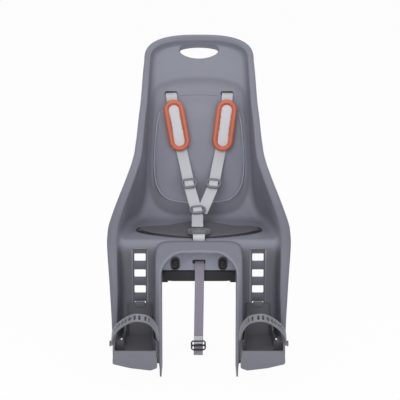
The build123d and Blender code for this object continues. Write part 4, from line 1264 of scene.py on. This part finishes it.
class SEAT_OT_shoulder_pads(bpy.types.Operator):
    """Make the two shoulder pads: an orange ring round a knitted insert"""
    bl_idname = "seat.shoulder_pads"
    bl_label = "Shoulder pads"

    def execute(self, context):
        made = finishes()
        for side, across, tilt in SHOULDER_PADS:
            place = strap_frame(across, 167.4, 302, (7, 48), tilt, 1.9)
            bm = bmesh.new()
            ring(bm, stadium(108, 36), round_profile(12, 11.4, cells=24, groove=2.35), place)
            bead = new_piece(f"{side}_pad_ring", bm, made["trim_rubber"], "seat", 75)
            smooth_over(bead, 75)
            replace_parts(bead, f"{side}_shoulder_pad")
            bm = bmesh.new()
            slab(bm, stadium(98, 26.5), place, 1.0, 6.0)
            insert = new_piece(f"{side}_pad_knit", bm, made["insert_knit"], "seat")
            inflate(insert, 2.0)
            self.lay_map(insert, place)
            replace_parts(insert, f"{side}_pad_insert")
        return {"FINISHED"}

    def lay_map(self, insert, place):
        """Lays the knit flat on the pad's face."""
        back = place.inverted()
        layer = insert.data.uv_layers.new(name="UVMap")
        for corner in insert.data.loops:
            flat = back @ (insert.data.vertices[corner.vertex_index].co / MM)
            layer.data[corner.index].uv = (flat.x * MM, flat.y * MM)


class SEAT_OT_adjusters(bpy.types.Operator):
    """Make the strap adjusters: a round-cornered frame with the webbing folded over its bar"""
    bl_idname = "seat.adjusters"
    bl_label = "Strap adjusters"

    def execute(self, context):
        for name, where, run, tilt, lift in ADJUSTERS:
            place = strap_frame(*where, run, tilt, lift)
            bm = bmesh.new()
            ring(bm, box_outline(31.5, 21.5, 10.2, cells=10), round_profile(6.4, 6.0, cells=12), place)
            for level in (-3.4, 3.4):
                tube(bm, [place @ Vector((x, level, 1.6)) for x in (-15, -5, 5, 15)], 2.4, 2.4)
            body = new_piece(f"{name}_adjuster_frame", bm, finishes()["adjuster_plastic"], "seat", 60)
            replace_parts(body, f"{name}_adjuster")
            fold = []
            for k in range(25):
                v = -8.6 + 17.2 * k / 24
                lift = 3.6 * cos(pi * v / 17.2) ** 0.6 if abs(v) < 8.5 else 0.0
                fold.append(place @ Vector((0, v, 1.0 + lift)))
            ribbon(f"{name}_adjuster_webbing", fold, 20.5, "harness_webbing",
                   place.to_3x3() @ Vector((0, 0, 1)))
        return {"FINISHED"}


class SEAT_OT_foot_straps(bpy.types.Operator):
    """Make the rubber foot straps with their arrow-shaped holes"""
    bl_idname = "seat.foot_straps"
    bl_label = "Foot straps"

    def execute(self, context):
        rubber = finishes()["foot_strap_rubber"]
        for side, sign in (("left", -1), ("right", 1)):
            points = [Vector((sign * across, *STRAP_FOOT)) + STRAP_RISE * rise for across, rise in FOOT_STRAP]
            path = smooth_line(points, 90)
            bm = bmesh.new()

            def place(column, row):
                narrow = 1 - 0.25 * ease(1 - row / 8) - 0.25 * ease((row - 82) / 8)
                return path[row] + STRAP_LEAN * (FOOT_STRAP_WIDTH * narrow * (column / 10 - 0.5))

            grid(bm, 10, 90, place)
            bmesh.ops.recalc_face_normals(bm, faces=bm.faces)
            strap = new_piece(f"{side}_instep_strap", bm, rubber, f"{side}_rest")
            thicken(strap, 3.0, 0.0)
            settle(strap)
            holes = bmesh.new()
            for k in range(10):
                row = 20 + round(k * 4.6)
                way = (path[row + 1] - path[row - 1]).normalized()
                spot = plane(path[row], way, STRAP_LEAN)
                shape = [Vector(point) for point in ARROW] if k < 6 else box_outline(4.6, 12, 2.2)
                slab(holes, shape, spot, -4, 4)
            cut(strap, holes)
            soften(strap, 0.6, 2, 50)
            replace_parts(strap, f"{side}_foot_strap")
        return {"FINISHED"}


class SEAT_OT_footrests(bpy.types.Operator):
    """Make the footrests with their catches and studs"""
    bl_idname = "seat.footrests"
    bl_label = "Footrests"

    def execute(self, context):
        for side, sign in (("left", -1), ("right", 1)):
            body = f"{side}_rest"
            cup = softened_copy(f"{side}_foot_cup", f"{side}_footrest", "footrest_cup", body, 1.1, 3,
                                "rest_grey")
            join(cup, [self.cheek(sign, cup.data.materials[0])])
            softened_copy(f"{side}_rest_catch", f"{side}_foot_catch", "footrest_plastic", body, 0.5)
            softened_copy(f"{side}_strap_stud", f"{side}_foot_stud", "foot_strap_rubber", body, 0.8)
        return {"FINISHED"}

    def cheek(self, sign, plastic):
        """The wall that closes the cup in front of the leg's rim."""
        bm = bmesh.new()
        wall = outline([(155, -113, 0), (177, -113, 0), (177, -90, 5), (155, -86, 5)])
        slab(bm, [Vector((sign * point.x, point.y)) for point in wall], front(-200.2), 0, 3.4)
        return softened("cheek", bm, plastic, 0.8)


class SEAT_OT_buckle(bpy.types.Operator):
    """Make the crotch buckle with its button and tongue"""
    bl_idname = "seat.buckle"
    bl_label = "Crotch buckle"

    def execute(self, context):
        softened_copy("crotch_buckle", "buckle_body", "buckle_plastic", "seat", 1.2, 3)
        softened_copy("release_button", "buckle_button", "adjuster_plastic", "button", 0.5)
        softened_copy("harness_tongue", "buckle_tongue", "buckle_plastic", "seat", 0.5)
        return {"FINISHED"}


class SEAT_OT_base(bpy.types.Operator):
    """Make the black base with its bolts and the clamp under it"""
    bl_idname = "seat.base"
    bl_label = "Base and clamp"

    def execute(self, context):
        for row in (
                ("base_moulding", "carrier_base", "black_plastic", "seat", 1.2),
                ("plate_bolts", "front_bolts", "jaw_coat", "seat", 0.7),
                ("rear_plate_bolts", "rear_bolts", "zinc_steel", "seat", 0.7),
                ("clamp_screw", "clamp_spindle", "zinc_steel", "spindle", 0.5),
                ("clamp_handwheel", "clamp_knob", "black_plastic", "spindle", 0.8),
                ("left_clamp_jaw", "left_jaw", "jaw_coat", "left_jaw", 0.8),
                ("right_clamp_jaw", "right_jaw", "jaw_coat", "right_jaw", 0.8),
                ("belt_lock", "safety_lock", "black_plastic", "seat", 1.0)):
            softened_copy(*row)
        return {"FINISHED"}


class SEAT_OT_carried_over(bpy.types.Operator):
    """Give the CAD nodes that stay their finishes"""
    bl_idname = "seat.carried_over"
    bl_label = "Finishes of plain parts"

    def execute(self, context):
        made = finishes()
        finish_of_slot = {
            "shell_grey": "shell_plastic", "pad_grey": "foam_skin", "rest_grey": "footrest_plastic",
            "strap_grey": "harness_webbing", "foot_strap_grey": "foot_strap_rubber",
            "black_plastic": "black_plastic", "orange_trim": "trim_rubber", "insert_fabric": "insert_knit",
            "adjuster_grey": "adjuster_plastic", "belt_fabric": "belt_webbing", "zinc_steel": "zinc_steel",
            "jaw_metal": "jaw_coat"}
        for part in frame["record"]["subparts"]:
            node = frame["nodes"][part["node"]]
            for place in node.material_slots:
                place.material = made[finish_of_slot[part["material_slot"]]]
        return {"FINISHED"}


# The stage: each lamp's name, place, size and watts, and the camera's place, all in metres
LAMPS = [("key", (-0.9, -2.7, 1.9), 2.4, 50), ("fill", (1.3, -2.7, 1.1), 2.4, 26),
         ("top", (0.2, 0.2, 3.0), 2.0, 16)]
LAMPS_AIM = Vector((0, 0, 0.15))
WORLD_LIGHT = 0.42
FLOOR_SHARE = 0.96
FLOOR_DROP = 0.6
CAMERA_PLACE = (0.00225, -2.47336, 0.73487)
CAMERA_TILT = radians(77)
WHITE = (1, 1, 1, 1)


class SEAT_OT_stage(bpy.types.Operator):
    """Make the pale floor, the soft light and the camera"""
    bl_idname = "seat.stage"
    bl_label = "Stage"

    def execute(self, context):
        scene = context.scene
        sizes = scene.seat_sizes
        scene.view_settings.view_transform = "Standard"
        bm = bmesh.new()
        bmesh.ops.create_grid(bm, x_segments=2, y_segments=2, size=60000)
        bmesh.ops.translate(bm, verts=bm.verts, vec=(0, 20000, cad_box[0].z / MM - FLOOR_DROP))
        floor = new_piece("floor", bm, self.floor_finish(), None)
        world = bpy.data.worlds.new("studio")
        world.use_nodes = True
        scene.world = world
        room = Graph(world.node_tree)
        light = room.node("Background", None, WHITE, WORLD_LIGHT * sizes.light)
        pale = room.node("Background", None, WHITE, 1.0)
        room.node_end("World", room.mixed(room.pale_rays(), light, pale))
        for name, place, size, power in LAMPS:
            data = bpy.data.lights.new(name, "AREA")
            data.size = size
            data.energy = power * sizes.light
            lamp = bpy.data.objects.new(name, data)
            scene.collection.objects.link(lamp)
            lamp.location = place
            lamp.rotation_euler = (LAMPS_AIM - Vector(place)).to_track_quat("-Z", "Y").to_euler()
        lens = bpy.data.cameras.new("camera")
        lens.sensor_width = 36
        lens.lens = 104
        lens.clip_start, lens.clip_end = 0.1, 200
        camera = bpy.data.objects.new("camera", lens)
        scene.collection.objects.link(camera)
        camera.location = CAMERA_PLACE
        camera.rotation_euler = (CAMERA_TILT, 0, 0)
        scene.camera = camera
        return {"FINISHED"}

    def floor_finish(self):
        """A white floor that keeps a soft shadow of the object."""
        material = bpy.data.materials.new("floor_paper")
        material.use_nodes = True
        floor = Graph(material.node_tree)
        paper = floor.node("BsdfDiffuse", None, (0.86, 0.86, 0.86, 1))
        pale = floor.node("Emission", None, WHITE, 1.0)
        floor.node_end("Material", floor.mixed(floor.pale_rays() * FLOOR_SHARE, paper, pale))
        return material


OPERATORS = [SEAT_OT_stage, SEAT_OT_carried_over, SEAT_OT_shell, SEAT_OT_seat_pad, SEAT_OT_harness,
             SEAT_OT_shoulder_pads, SEAT_OT_adjusters, SEAT_OT_buckle, SEAT_OT_belt, SEAT_OT_base,
             SEAT_OT_footrests, SEAT_OT_foot_straps]


class SEAT_PT_pieces(bpy.types.Panel):
    """Lists the pieces of the seat"""
    bl_idname = "SEAT_PT_pieces"
    bl_label = "Child bike seat"
    bl_space_type = "VIEW_3D"
    bl_region_type = "UI"
    bl_category = "Bike Seat"

    def draw(self, context):
        column = self.layout.column()
        for operator in OPERATORS:
            column.operator(operator.bl_idname)
        for group in (context.scene.seat_sizes, context.scene.seat_finishes):
            for name in group.__annotations__:
                column.prop(group, name)


CLASSES = [SeatFinishes, SeatSizes, *OPERATORS, SEAT_PT_pieces]


def register():
    for made in CLASSES:
        bpy.utils.register_class(made)
    bpy.types.Scene.seat_finishes = PointerProperty(type=SeatFinishes)
    bpy.types.Scene.seat_sizes = PointerProperty(type=SeatSizes)


def unregister():
    del bpy.types.Scene.seat_sizes
    del bpy.types.Scene.seat_finishes
    for made in reversed(CLASSES):
        bpy.utils.unregister_class(made)


def main():
    register()
    for operator in OPERATORS:
        getattr(bpy.ops.seat, operator.bl_idname.split(".")[1])()


if __name__ == "__main__":
    main()
